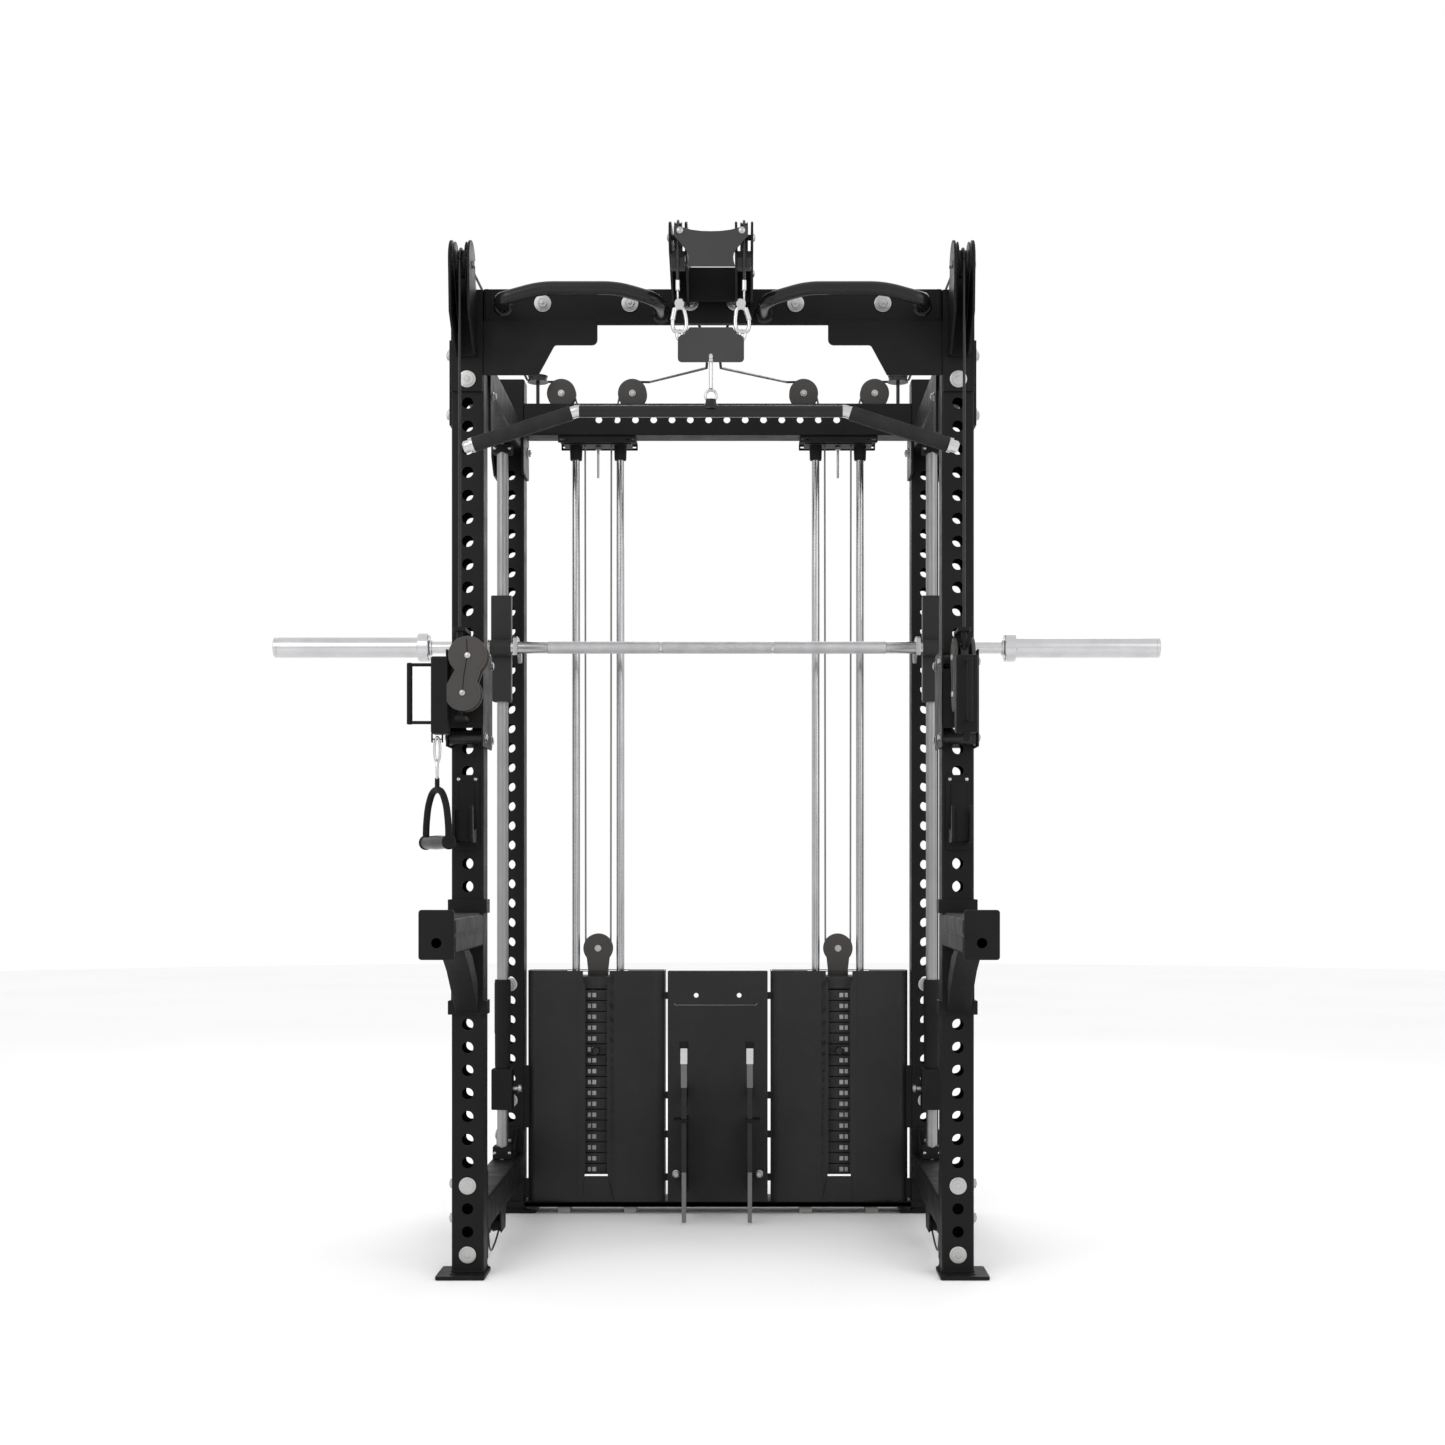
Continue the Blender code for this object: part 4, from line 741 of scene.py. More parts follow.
# ---------------------------------------------------------------- pulleys and cables
def pulley(centre, axis, radius=PULLEY_RADIUS, width=0.016):
    """Grooved wheel with a recessed web and a hub."""
    half = width / 2
    web = half * 0.35
    profile = [(0.0063, -half), (0.012, -half), (0.0125, -web), (radius - 0.007, -web),
               (radius - 0.006, -half), (radius + 0.001, -half), (radius - 0.0015, -half * 0.5),
               (radius - 0.0025, 0.0), (radius - 0.0015, half * 0.5), (radius + 0.001, half),
               (radius - 0.006, half), (radius - 0.007, web), (0.0125, web), (0.012, half), (0.0063, half)]
    return Shape().turn(profile, centre, axis, 48)


def lat_sheaves():
    y, z = at(LAT_SHEAVE[0]), LAT_SHEAVE[1]
    shape = Shape()
    for side in (-1, 1):
        shape.take(pulley((side * LAT_X, y, z), (1, 0, 0)).bm)
    return shape.bar((-0.0865, y, z), (0.0865, y, z), 0.0060)


def strand(name, side, points, node, body=None, look="cable", radius=CABLE_RADIUS):
    """A taut cable, its path cut into short lengths. Where it runs to a sliding body it is left unattached,
    with its placement baked in.
    """
    path = []
    for first, last in zip(points, points[1:]):
        first, last = Vector(first), Vector(last)
        steps = max(1, round((last - first).length / 0.04))
        path += [first.lerp(last, step / steps) for step in range(steps)]
    path.append(Vector(points[-1]))
    if side == "left":
        path = [Vector((-point.x, point.y, point.z)) for point in path]
    shape = Shape().pipe(path, radius, resolution=3)
    cable = piece(f"{name}_{side}", shape, look, None if body else "frame", [node])
    if body:
        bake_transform(cable)


def cables(side):
    outer, inner = BEAM_PULLEY_X
    beam_z = BEAM_PULLEY_Z
    hairpin = [(outer - CABLE_LINE, STACK_Y, beam_z), (STACK_X + 0.034, STACK_Y, 2.020)]
    hairpin += [(STACK_X + u, STACK_Y, v) for u, v in arc((0, STACK_PULLEY_Z), CABLE_LINE, 0, -180, 16)]
    hairpin += [(STACK_X - 0.034, STACK_Y, 2.020), (inner + CABLE_LINE, STACK_Y, beam_z)]
    strand("stack_strand", side, hairpin, f"stack_cable_{side}", f"stack_{side}",
           "wire", 0.0024)
    depth, z = TOP_PULLEY
    corner_y = STACK_Y - CABLE_LINE + 0.006
    route = [(UPRIGHT_X, at(depth) + u, z + v) for u, v in arc((0, 0), CABLE_LINE, 176, 90, 10)]
    route += [(CORNER_GUIDE_X + u, corner_y + v, beam_z + CABLE_LINE)
              for u, v in arc((0, 0), CABLE_LINE - 0.004, 0, 80, 8)]
    route += [(outer + u, STACK_Y, beam_z + v) for u, v in arc((0, 0), CABLE_LINE, 90, 174, 10)]
    strand("side_strand", side, route, f"side_cable_{side}")
    route = [(inner + u, STACK_Y, beam_z + v) for u, v in arc((0, 0), CABLE_LINE, 6, 84, 8)]
    route.append((inner - 0.044, STACK_Y, beam_z + CABLE_LINE - 0.001))
    knots = [(0.016, at(0.125), 2.004), (0.014, at(0.105), 2.020), (0.030, at(0.100), 2.090),
             (LAT_X, at(0.098), 2.175), (LAT_X, at(0.080), 2.210),
             (LAT_X, at(0.045), LAT_SHEAVE[1] + CABLE_LINE)]
    route += eased(knots, 0.02)
    route += [(LAT_X, at(LAT_SHEAVE[0]) + u, LAT_SHEAVE[1] + v)
              for u, v in arc((0, 0), CABLE_LINE, 90, 176, 10)]
    strand("lat_route", side, route, f"lat_cable_{side}")
    line_y = at(LAT_DEPTH)
    strand("lat_strand", side, [(LAT_X, line_y, LAT_SHEAVE[1]), (LAT_X, line_y, 2.051)], f"lat_strand_{side}",
           "lat_coupler")
    line_y = at(HEAD_DEPTH)
    strand("trolley_strand", side, [(UPRIGHT_X, line_y, z), (UPRIGHT_X, line_y, 1.3945)],
           f"trolley_strand_{side}", f"trolley_{side}")


for side in ("left", "right"):
    cables(side)
pair("top_wheel", lambda: pulley((UPRIGHT_X, at(TOP_PULLEY[0]), TOP_PULLEY[1]), (1, 0, 0)), "nylon",
     "top_pulley_{side}", ["top_pulley_{side}"])
for spot, wheel_x in zip(("outer", "inner"), BEAM_PULLEY_X):
    pair(f"beam_wheel_{spot}", lambda: pulley((wheel_x, STACK_Y, BEAM_PULLEY_Z), (0, 1, 0)), "nylon",
         f"beam_pulley_{spot}_{{side}}", [f"beam_pulley_{spot}_{{side}}"])
pair("stack_wheel", lambda: pulley((STACK_X, STACK_Y, STACK_PULLEY_Z), (0, 1, 0)), "nylon",
     "stack_pulley_{side}", ["stack_pulley_{side}"])
piece("lat_wheels", lat_sheaves(), "nylon", "lat_sheaves", ["lat_sheaves"])


# ---------------------------------------------------------------- rear crossbeam
def rear_crossbeam():
    """Drilled channel, open at the back."""
    shape = Shape()
    span = INNER_X - 0.0003
    low, high = REAR_BEAM_Z
    front, back, wall = at(REAR_DEPTH), at(REAR_DEPTH + TUBE), 0.004
    profile = [
        (back, low), (back, low + wall), (front + wall, low + wall), (front + wall, high - wall),
        (back, high - wall), (back, high), *arc((front + 0.005, high - 0.005), 0.005, 90, 180, 4),
        *arc((front + 0.005, low + 0.005), 0.005, 180, 270, 4),
    ]
    shape.plate(profile, 2 * span, facing_side(0), bevel=0.0003)
    holes = []
    for side in (-1, 1):
        for step in range(7):
            x = side * 0.047 * (step + 0.5)
            holes.append(((x, front - 0.02, 2.038), (x, front + 0.02, 2.038), 0.0085))
    shape.drill(holes)
    for side in (-1, 1):
        shape.block(sorted((side * (span - 0.010), side * span)), (front + 0.002, back),
                    (low + 0.002, high - 0.002), 0.001)
    return shape


def beam_pulley_cheeks():
    """Round-headed plates on both sides of each beam pulley."""
    shape = Shape()
    for x in BEAM_PULLEY_X:
        foot = REAR_BEAM_Z[1] - 0.001
        outline = [*arc((x, BEAM_PULLEY_Z), 0.0375, -50, 230, 32), (x - 0.020, foot), (x + 0.020, foot)]
        for offset in (-0.0105, 0.0105):
            shape.plate(outline, 0.004, facing_front(STACK_Y + offset), bevel=0.0008)
    return shape


def corner_guide():
    """Horizontal wheel that turns the side cable onto the outer beam pulley."""
    corner_y = STACK_Y - CABLE_LINE + 0.006
    rim = PULLEY_RADIUS - 0.006
    shape = Shape().bar((CORNER_GUIDE_X, corner_y, 2.080), (CORNER_GUIDE_X, corner_y, 2.1575), 0.0045)
    profile = [(0, 2.141), (rim + 0.003, 2.141), (rim, 2.147), (rim, 2.152), (rim + 0.002, 2.157), (0, 2.158)]
    return shape.turn(profile, (CORNER_GUIDE_X, corner_y, 0), (0, 0, 1))


def beam_pulley_screws():
    shape = Shape()
    for x in BEAM_PULLEY_X:
        for face in (-1, 1):
            place = (x, STACK_Y + face * 0.0125, BEAM_PULLEY_Z)
            shape.turn([(0, 0), (0.0085, 0), (0.0085, 0.0012), (0, 0.0014)], place, (0, face, 0))
            shape.prism(place, (0, face, 0), 0.0065, 0.005)
    return shape


piece("rear_beam", rear_crossbeam(), "powder", stands_for=["rear_crossbeam"])
pair("beam_pulley_cheeks", beam_pulley_cheeks, "cover")
pair("corner_guide", corner_guide, "nylon")
pair("beam_pulley_screws", beam_pulley_screws, "zinc")


# ---------------------------------------------------------------- weight stacks
def guide_rods():
    shape = Shape()
    for offset in (-ROD_OFFSET, ROD_OFFSET):
        place = (STACK_X + offset, STACK_Y)
        shape.bar((*place, 0.045), (*place, 1.983), ROD_RADIUS, sides=40)
    return shape


def guide_sleeves():
    """Rubber collars at both ends of the guide rods."""
    shape = Shape()
    for offset in (-ROD_OFFSET, ROD_OFFSET):
        place = (STACK_X + offset, STACK_Y, 0)
        shape.turn([(0.0107, 1.945), (0.0145, 1.945), (0.0155, 1.948), (0.0165, 1.981), (0.0107, 1.981)],
                   place, (0, 0, 1))
        shape.turn([(0.0107, 0.046), (0.0185, 0.046), (0.0175, 0.060), (0.0190, 0.064), (0.0175, 0.080),
                    (0.0185, 0.0975), (0.0107, 0.0975)], place, (0, 0, 1))
    return shape


def stack_bracket():
    """Folded channel that holds the guide rods under the rear beam, and the plate on the floor strip."""
    shape = Shape()
    x = (STACK_X - 0.100, STACK_X + 0.100)
    y = (at(0.775), at(0.873))
    top = REAR_BEAM_Z[0] - 0.0005
    shape.block(x, y, (top - 0.004, top), 0.001)
    slots = [rectangle((STACK_X + shift - 0.011, STACK_X + shift + 0.011), (1.987, 1.991), 0.0015)
             for shift in (-0.085, 0.085)]
    for face in y:
        inside = face + 0.0015 if face == y[0] else face - 0.0015
        shape.plate(rectangle(x, (1.981, top - 0.001), 0.002), 0.003, facing_front(inside), slots)
    shape.block((STACK_X - 0.110, STACK_X + 0.110), y, (FLOOR_STRIP_Z[1] + 0.0003, 0.045), 0.002)
    shape.block((STACK_X - 0.088, STACK_X + 0.088), (STACK_Y - 0.030, STACK_Y + 0.030), (1.981, 1.987), 0.001)
    return shape


def rod_end():
    """Threaded tail that hangs from the bracket between the strands."""
    shape = Shape().bar((STACK_X, STACK_Y, 1.899), (STACK_X, STACK_Y, 1.983), 0.0032)
    return shape.prism((STACK_X, STACK_Y, 1.972), (0, 0, 1), 0.008, 0.008)


def weight_plates(first, count):
    """Cast plates with chamfered edges and a cast rib, 1.5 mm apart, bored for the rods."""
    shape = Shape()
    for index in range(first, first + count):
        low = STACK_BOTTOM + PLATE_PITCH * index + 0.0008
        high = low + PLATE_PITCH - 0.0018
        x = (STACK_X - STACK_HALF_WIDTH, STACK_X + STACK_HALF_WIDTH)
        outline = rectangle(x, (STACK_Y - STACK_HALF_THICK, STACK_Y + STACK_HALF_THICK), 0.007)
        bores = [arc((STACK_X + offset, STACK_Y), ROD_RADIUS + 0.002, 0, 345, 23)
                 for offset in (-ROD_OFFSET, ROD_OFFSET)]
        bores.append(arc((STACK_X, STACK_Y), 0.0105, 0, 345, 23))
        shape.plate(outline, high - low, facing_up((low + high) / 2), bores, bevel=0.0018)
        front = STACK_Y - STACK_HALF_THICK
        shape.block((STACK_X - 0.022, STACK_X - 0.006), (front - 0.0012, front + 0.002),
                    (low + 0.004, high - 0.004), 0.0008)
    return shape


def plate_labels(first, count):
    """Two small plain stickers on the front edge of each plate."""
    shape = Shape()
    front = STACK_Y - STACK_HALF_THICK
    for index in range(first, first + count):
        z = STACK_BOTTOM + PLATE_PITCH * (index + 0.5)
        for low, high in ((0.002, 0.012), (0.0155, 0.0235)):
            shape.block((STACK_X + low, STACK_X + high), (front - 0.0009, front + 0.001),
                        (z - 0.0055, z + 0.0055), 0.0004)
    return shape


def head_plate():
    """Top casting with a boss on its top; the stack pulley's fork and the selector rod below are separate
    pieces.
    """
    shape = Shape()
    low = STACK_BOTTOM + PLATE_PITCH * (RESTING_COUNT + LIFTED_COUNT)
    x = (STACK_X - STACK_HALF_WIDTH, STACK_X + STACK_HALF_WIDTH)
    outline = rectangle(x, (STACK_Y - STACK_HALF_THICK, STACK_Y + STACK_HALF_THICK), 0.007)
    shape.plate(outline, 0.032, facing_up(low + 0.018), bevel=0.003)
    shape.block((STACK_X - 0.026, STACK_X + 0.026), (STACK_Y - 0.016, STACK_Y + 0.016),
                (low + 0.030, low + 0.048), 0.002)
    return shape


def stack_fork():
    """Round-headed side plates of the stack pulley."""
    shape = Shape()
    foot = STACK_BOTTOM + PLATE_PITCH * (RESTING_COUNT + LIFTED_COUNT) + 0.034
    for offset in (-0.0105, 0.0105):
        outline = arc((STACK_X, STACK_PULLEY_Z), 0.038, -40, 220, 30)
        outline += [(STACK_X - 0.024, foot), (STACK_X + 0.024, foot)]
        shape.plate(outline, 0.004, facing_front(STACK_Y + offset), bevel=0.0008)
    return shape


def stack_fork_screws():
    shape = Shape()
    for face in (-1, 1):
        place = (STACK_X, STACK_Y + face * 0.0125, STACK_PULLEY_Z)
        shape.turn([(0, 0), (0.0085, 0), (0.0085, 0.0012), (0, 0.0014)], place, (0, face, 0))
        shape.prism(place, (0, face, 0), 0.0065, 0.005)
    return shape


def selector_rod():
    shape = Shape().bar((STACK_X, STACK_Y, STACK_BOTTOM + 0.010), (STACK_X, STACK_Y, 0.560), 0.0085)
    heights = [STACK_BOTTOM + PLATE_PITCH * (index + 0.5)
               for index in range(RESTING_COUNT + LIFTED_COUNT - 1)]
    return shape.drill([((STACK_X, STACK_Y - 0.02, z), (STACK_X, STACK_Y + 0.02, z), 0.0050)
                        for z in heights], 16)


def selector_pin():
    """Pin with a knob that has a ball grip."""
    front = STACK_Y - STACK_HALF_THICK
    z = STACK_BOTTOM + PLATE_PITCH * (RESTING_COUNT + 0.5)
    shape = Shape()
    shape.bar((STACK_X, front - 0.012, z), (STACK_X, front + 0.030, z), 0.0048)
    profile = [(0, 0.010), (0.008, 0.010), (0.0085, 0.014), (0.0070, 0.020), (0.0105, 0.028), (0.0108, 0.034),
               (0.0085, 0.039), (0, 0.040)]
    return shape.turn(profile, (STACK_X, front, z), (0, -1, 0))


pair("guide_rods", guide_rods, "chrome", nodes=["guide_frame_{side}"])
pair("guide_sleeves", guide_sleeves, "rubber")
pair("stack_bracket", stack_bracket, "powder")
pair("rod_end", rod_end, "zinc")
pair("plates_resting", lambda: weight_plates(0, RESTING_COUNT), "iron", nodes=["resting_plates_{side}"])
pair("labels_resting", lambda: plate_labels(0, RESTING_COUNT), "label")
pair("plates_lifted", lambda: weight_plates(RESTING_COUNT, LIFTED_COUNT), "iron", "stack_{side}",
     ["lifted_plates_{side}"])
pair("labels_lifted", lambda: plate_labels(RESTING_COUNT, LIFTED_COUNT), "label", "stack_{side}")
pair("head_plate", head_plate, "iron", "stack_{side}")
pair("stack_fork", stack_fork, "cover", "stack_{side}")
pair("stack_fork_screws", stack_fork_screws, "zinc", "stack_{side}")
pair("selector_rod", selector_rod, "zinc", "stack_{side}")
pair("pin", selector_pin, "gloss_black", "selector_pin_{side}", ["selector_pin_{side}"])


# ---------------------------------------------------------------- shrouds and centre panel
SHROUD_TOP = node_range("shroud_right", "z")[1]
SHROUD_LOW = node_range("shroud_right", "z")[0]


def strip(points, thickness):
    """Closed outline of a folded strip: the path and its offset to the left."""
    offset = []
    for index, point in enumerate(points):
        before = Vector(points[max(index - 1, 0)])
        after = Vector(points[min(index + 1, len(points) - 1)])
        along = (after - before).normalized()
        offset.append((point[0] - along.y * thickness, point[1] + along.x * thickness))
    return points + offset[::-1]


def shroud():
    """Folded sheet cover: outer wing, slotted face with turned-back lips and inner wing."""
    shape = Shape()
    path = [(0.489, 0.845), (0.489, 0.7905), (0.466, 0.768), (0.345, 0.7525)]
    left_path = [(0.277, 0.7525), (0.160, 0.7525), (0.136, 0.768), (0.136, 0.845)]
    height = SHROUD_TOP - SHROUD_LOW
    place = facing_up((SHROUD_TOP + SHROUD_LOW) / 2)
    for run in (path, left_path):
        line = [(x, at(depth)) for x, depth in run]
        shape.plate(strip(line, -0.002), height, place, bevel=0.0003)
    half = 0.0275
    for side in (-1, 1):
        edge = STACK_X + side * half
        flare = STACK_X + side * (half + 0.016)
        wall = 0.345 if side > 0 else 0.277
        cheek = [(wall, SHROUD_LOW), (flare, SHROUD_LOW), (edge + side * 0.002, 0.100), (edge, 0.115),
                 (edge, 0.575), (edge + side * 0.002, 0.592), (flare, SHROUD_TOP - 0.004),
                 (wall + side * 0.012, SHROUD_TOP), (wall + side * 0.012, SHROUD_LOW)]
        shape.plate(cheek, 0.002, facing_front(at(0.7535)), bevel=0.0006)
    shape.block((STACK_X - half - 0.014, STACK_X + half + 0.014), (at(0.7545), at(0.7565)),
                (SHROUD_LOW, 0.098), 0.0005)
    lid = rectangle((0.140, 0.485), (at(0.7725), at(0.845)), 0.002)
    opening = rectangle((STACK_X - 0.080, STACK_X + 0.080), (at(0.7735), at(0.8448)), 0.004)
    shape.plate(lid, 0.002, facing_up(SHROUD_TOP - 0.0012), [opening], bevel=0.0004)
    return shape


def shroud_tabs():
    """Small tabs that tie the shroud to the centre panel and the upright."""
    shape = Shape()
    for z in (0.095, 0.205, 0.305, 0.560):
        shape.block((0.128, 0.139), (at(0.7560), at(0.7640)), (z - 0.009, z + 0.009), 0.0008)
    for span in ((0.040, 0.090), (0.220, 0.380)):
        shape.block((0.484, INNER_X + 0.001), (at(0.7700), at(0.7760)), span, 0.0008)
    return shape


def centre_panel():
    """Flat panel between the shrouds with two eyes; its pressed flap line is a separate piece."""
    shape = Shape()
    low = FLOOR_STRIP_Z[1] + 0.0003
    eyes = [arc((x, 0.561), 0.006, 0, 345, 23) for x in (-0.055, 0.055)]
    outline = rectangle((-0.128, 0.128), (low, SHROUD_TOP), 0.003)
    shape.plate(outline, 0.002, facing_front(at(0.7535)), eyes)
    shape.block((-0.128, 0.128), (at(0.753), at(0.800)), (low, low + 0.003), 0.0008)
    shape.block((-0.128, 0.128), (at(0.753), at(0.800)), (SHROUD_TOP - 0.004, SHROUD_TOP - 0.001), 0.0008)
    return shape


def panel_flap():
    """The thin bright lip of the pressed flap."""
    shape = Shape()
    path = [(-0.112, at(0.7515), 0.541), (-0.108, at(0.7515), 0.536), (0.098, at(0.7515), 0.536),
            (0.102, at(0.7515), 0.541)]
    return shape.pipe(path, 0.0011, resolution=2)


def hook_path(low, high):
    """Centre line, (depth, Z), of the bowed hook between two heights."""
    line = [(0.606, 0.440), (0.602, 0.400), (0.612, 0.340), (0.616, 0.300), (0.606, 0.250), (0.602, 0.215),
            (0.606, 0.130), (0.610, 0.060), (0.612, 0.004)]
    return [(depth, z) for depth, z in line if low <= z <= high]


def hook_part(low, high, width, thick=0.012):
    shape = Shape()
    line = [(at(depth), z) for depth, z in hook_path(low, high)]
    smooth = [(p.x, p.y) for p in eased([(y, z, 0) for y, z in line], 0.05, 6)]
    return shape.plate(strip(smooth, thick), width, facing_side(0.082), bevel=0.0015)


def hook_cap():
    """Rubber roller at the top of each hook."""
    shape = Shape().bar((0.071, at(0.618), 0.443), (0.093, at(0.618), 0.443), 0.013, 0.002)
    return shape.block((0.074, 0.090), (at(0.610), at(0.632)), (0.405, 0.445), 0.003)


def hook_frame():
    """Black arms that hold each hook on the panel, with its ledge and floor bracket."""
    shape = Shape()
    arms = [(at(0.7525), 0.335), (at(0.7525), 0.300), (at(0.640), 0.270), (at(0.622), 0.285),
            (at(0.625), 0.320)]
    shape.plate(arms, 0.012, facing_side(0.082))
    shape.block((0.072, 0.108), (at(0.590), at(0.640)), (0.258, 0.263), 0.001)
    stem = [(at(0.7525), 0.255), (at(0.640), 0.235), (at(0.626), 0.110), (at(0.640), 0.085),
            (at(0.7525), 0.060)]
    shape.plate(stem, 0.014, facing_side(0.082))
    return shape


def panel_bolts():
    shape = Shape()
    shape.prism((0.106, at(0.7525), 0.104), (0, -1, 0), 0.0085, 0.012)
    return shape.bolt((0.106, at(0.7525), 0.104), (0, -1, 0), 0.010, 0.0075)


pair("shroud_cover", shroud, "sheet", nodes=["shroud_{side}"])
pair("shroud_tabs", shroud_tabs, "powder")
piece("middle_panel", centre_panel(), "sheet", stands_for=["centre_panel"])
piece("panel_flap_lip", panel_flap(), "edge_grey")
pair("hook_bright", lambda: hook_part(0.395, 0.445, 0.018), "chrome_bar")
pair("hook_neck", lambda: hook_part(0.335, 0.405, 0.015), "edge_grey")
pair("hook_bow", lambda: hook_part(0.245, 0.345, 0.014), "gloss_black")
pair("hook_tongue", lambda: hook_part(0.0, 0.135, 0.011, 0.008), "edge_grey")
pair("hook_stem", lambda: hook_part(0.125, 0.255, 0.013), "gloss_black")
pair("hook_cap", hook_cap, "rubber")
pair("hook_arms", hook_frame, "powder")
pair("panel_bolts", panel_bolts, "zinc")


# ---------------------------------------------------------------- guided barbell
def smith_rail():
    x, y = RAIL[0], at(RAIL[1])
    return Shape().bar((x, y, BASE_BEAM_Z[1] + 0.0003), (x, y, SIDE_BEAM_Z[0] - 0.0003), 0.014, sides=48)


def rail_blocks():
    """Split blocks that clamp the rail's two ends."""
    shape = Shape()
    x, y = RAIL[0], at(RAIL[1])
    for span in ((BASE_BEAM_Z[1] + 0.0003, 0.190), (1.925, SIDE_BEAM_Z[0] - 0.0003)):
        for part in ((y - 0.014, y - 0.0008), (y + 0.0008, y + 0.024)):
            shape.block((x - 0.024, x + 0.024), part, span, 0.003)
    return shape


def rail_screws():
    shape = Shape()
    x, y = RAIL[0], at(RAIL[1])
    for z in (0.173, 1.9375):
        for offset in (-0.0185, 0.0185):
            shape.button((x + offset, y - 0.014, z), (0, -1, 0), 0.004, 0.0015)
    return shape


def carriage():
    """Long bearing housing: round back sleeve, flat front plate and the boss for the bar."""
    shape = Shape()
    x, y = RAIL[0], at(RAIL[1])
    low, high = 1.303, 1.567
    shape.turn([(0.0152, low), (0.0225, low), (0.024, low + 0.002), (0.024, high - 0.002), (0.0225, high),
                (0.0152, high)], (x, y, 0), (0, 0, 1))
    shape.block((x - 0.026, x + 0.026), (y - 0.0285, y - 0.0185), (low, high), 0.003)
    shape.turn([(0.0158, -0.026), (0.018, -0.026), (0.020, -0.024), (0.020, 0.024), (0.018, 0.026),
                (0.0158, 0.026)], (x, at(BAR_DEPTH), BAR_Z), (1, 0, 0))
    return shape


def carriage_edge():
    """Paler wiper rings and edge strip of the carriage."""
    shape = Shape()
    x, y = RAIL[0], at(RAIL[1])
    for low, high in ((1.3035, 1.309), (1.561, 1.5665)):
        shape.turn([(0.0150, low), (0.0235, low), (0.0235, high), (0.0150, high)], (x, y, 0), (0, 0, 1))
    shape.block((x - 0.0265, x - 0.0245), (y - 0.0287, y - 0.0183), (1.306, 1.564), 0.0006)
    return shape


def smith_stop():
    """Clamp block under its cushioned sleeve."""
    shape = Shape()
    x, y = RAIL[0], at(RAIL[1])
    shape.block((x - 0.026, x + 0.026), (y - 0.024, y - 0.0155), (0.282, 0.384), 0.003)
    shape.block((x - 0.026, x + 0.026), (y + 0.0155, y + 0.024), (0.282, 0.384), 0.003)
    for edge in ((x - 0.026, x - 0.0155), (x + 0.0155, x + 0.026)):
        shape.block(edge, (y - 0.0165, y + 0.0165), (0.282, 0.384), 0.002)
    return shape


def stop_cushion():
    x, y = RAIL[0], at(RAIL[1])
    profile = [(0.0152, 0.384), (0.0185, 0.384), (0.0195, 0.392), (0.0195, 0.470), (0.0205, 0.474),
               (0.0205, 0.598), (0.0190, 0.607), (0.0152, 0.607)]
    return Shape().turn(profile, (x, y, 0), (0, 0, 1))


def stop_knob():
    """Spring plunger on the stop."""
    x, y = RAIL[0], at(RAIL[1])
    shape = Shape().bar((x - 0.026, y, 0.333), (x - 0.040, y, 0.333), 0.006)
    return shape.bar((x - 0.038, y, 0.333), (x - 0.048, y, 0.333), 0.010, 0.002)


def barbell_shaft():
    """Smooth stretches of the shaft, and the rings that keep the carriages in place."""
    shape = Shape()
    for side in (-1, 1):
        shape.bar((side * 0.420, at(BAR_DEPTH), BAR_Z), (side * 1.080, at(BAR_DEPTH), BAR_Z), 0.0150, 0.001,
                  48)
        for inner, outer in ((0.566, 0.5755), (0.7075, 0.7135)):
            shape.bar((side * inner, at(BAR_DEPTH), BAR_Z), (side * outer, at(BAR_DEPTH), BAR_Z), 0.020,
                      0.0015, 40)
    for low, high in ((-0.142, -0.135), (0.135, 0.142)):
        shape.bar((low, at(BAR_DEPTH), BAR_Z), (high, at(BAR_DEPTH), BAR_Z), 0.0151, 0.0002, 48)
    return shape


def shaft_knurl():
    shape = Shape()
    for low, high in ((-0.420, -0.142), (-0.135, 0.135), (0.142, 0.420)):
        shape.bar((low, at(BAR_DEPTH), BAR_Z), (high, at(BAR_DEPTH), BAR_Z), 0.0152, 0.0006, 48)
    return shape


def lock_hook():
    """Lock hook that turns with the bar onto the rear upright's pegs."""
    outline = [(0.592, 1.414), (0.592, 1.456), (0.606, 1.462), (0.640, 1.462), (0.690, 1.446), (0.706, 1.428),
               (0.708, 1.410), (0.700, 1.405), (0.694, 1.418), (0.680, 1.430), (0.640, 1.440), (0.615, 1.438)]
    return Shape().plate([(at(depth), z) for depth, z in outline], 0.010, facing_side(0.500), bevel=0.001)


def sleeve():
    """Plate sleeve with its flange, bearing ring and end cap groove."""
    y, z = at(BAR_DEPTH), BAR_Z
    profile = [(0.0158, 0.714), (0.033, 0.714), (0.035, 0.716), (0.035, 0.7395), (0.033, 0.7415),
               (0.0265, 0.7415), (0.0250, 0.7435), (0.0250, 1.090), (0.0243, 1.0905), (0.0243, 1.092),
               (0.0250, 1.0925), (0.0250, 1.0985), (0.0238, 1.100), (0.0158, 1.100)]
    shape = Shape().turn(profile, (0, y, z), (1, 0, 0), 64)
    return shape.turn([(0, 1.0965), (0.0165, 1.0965), (0.0165, 1.0995), (0, 1.0995)], (0, y, z), (1, 0, 0))


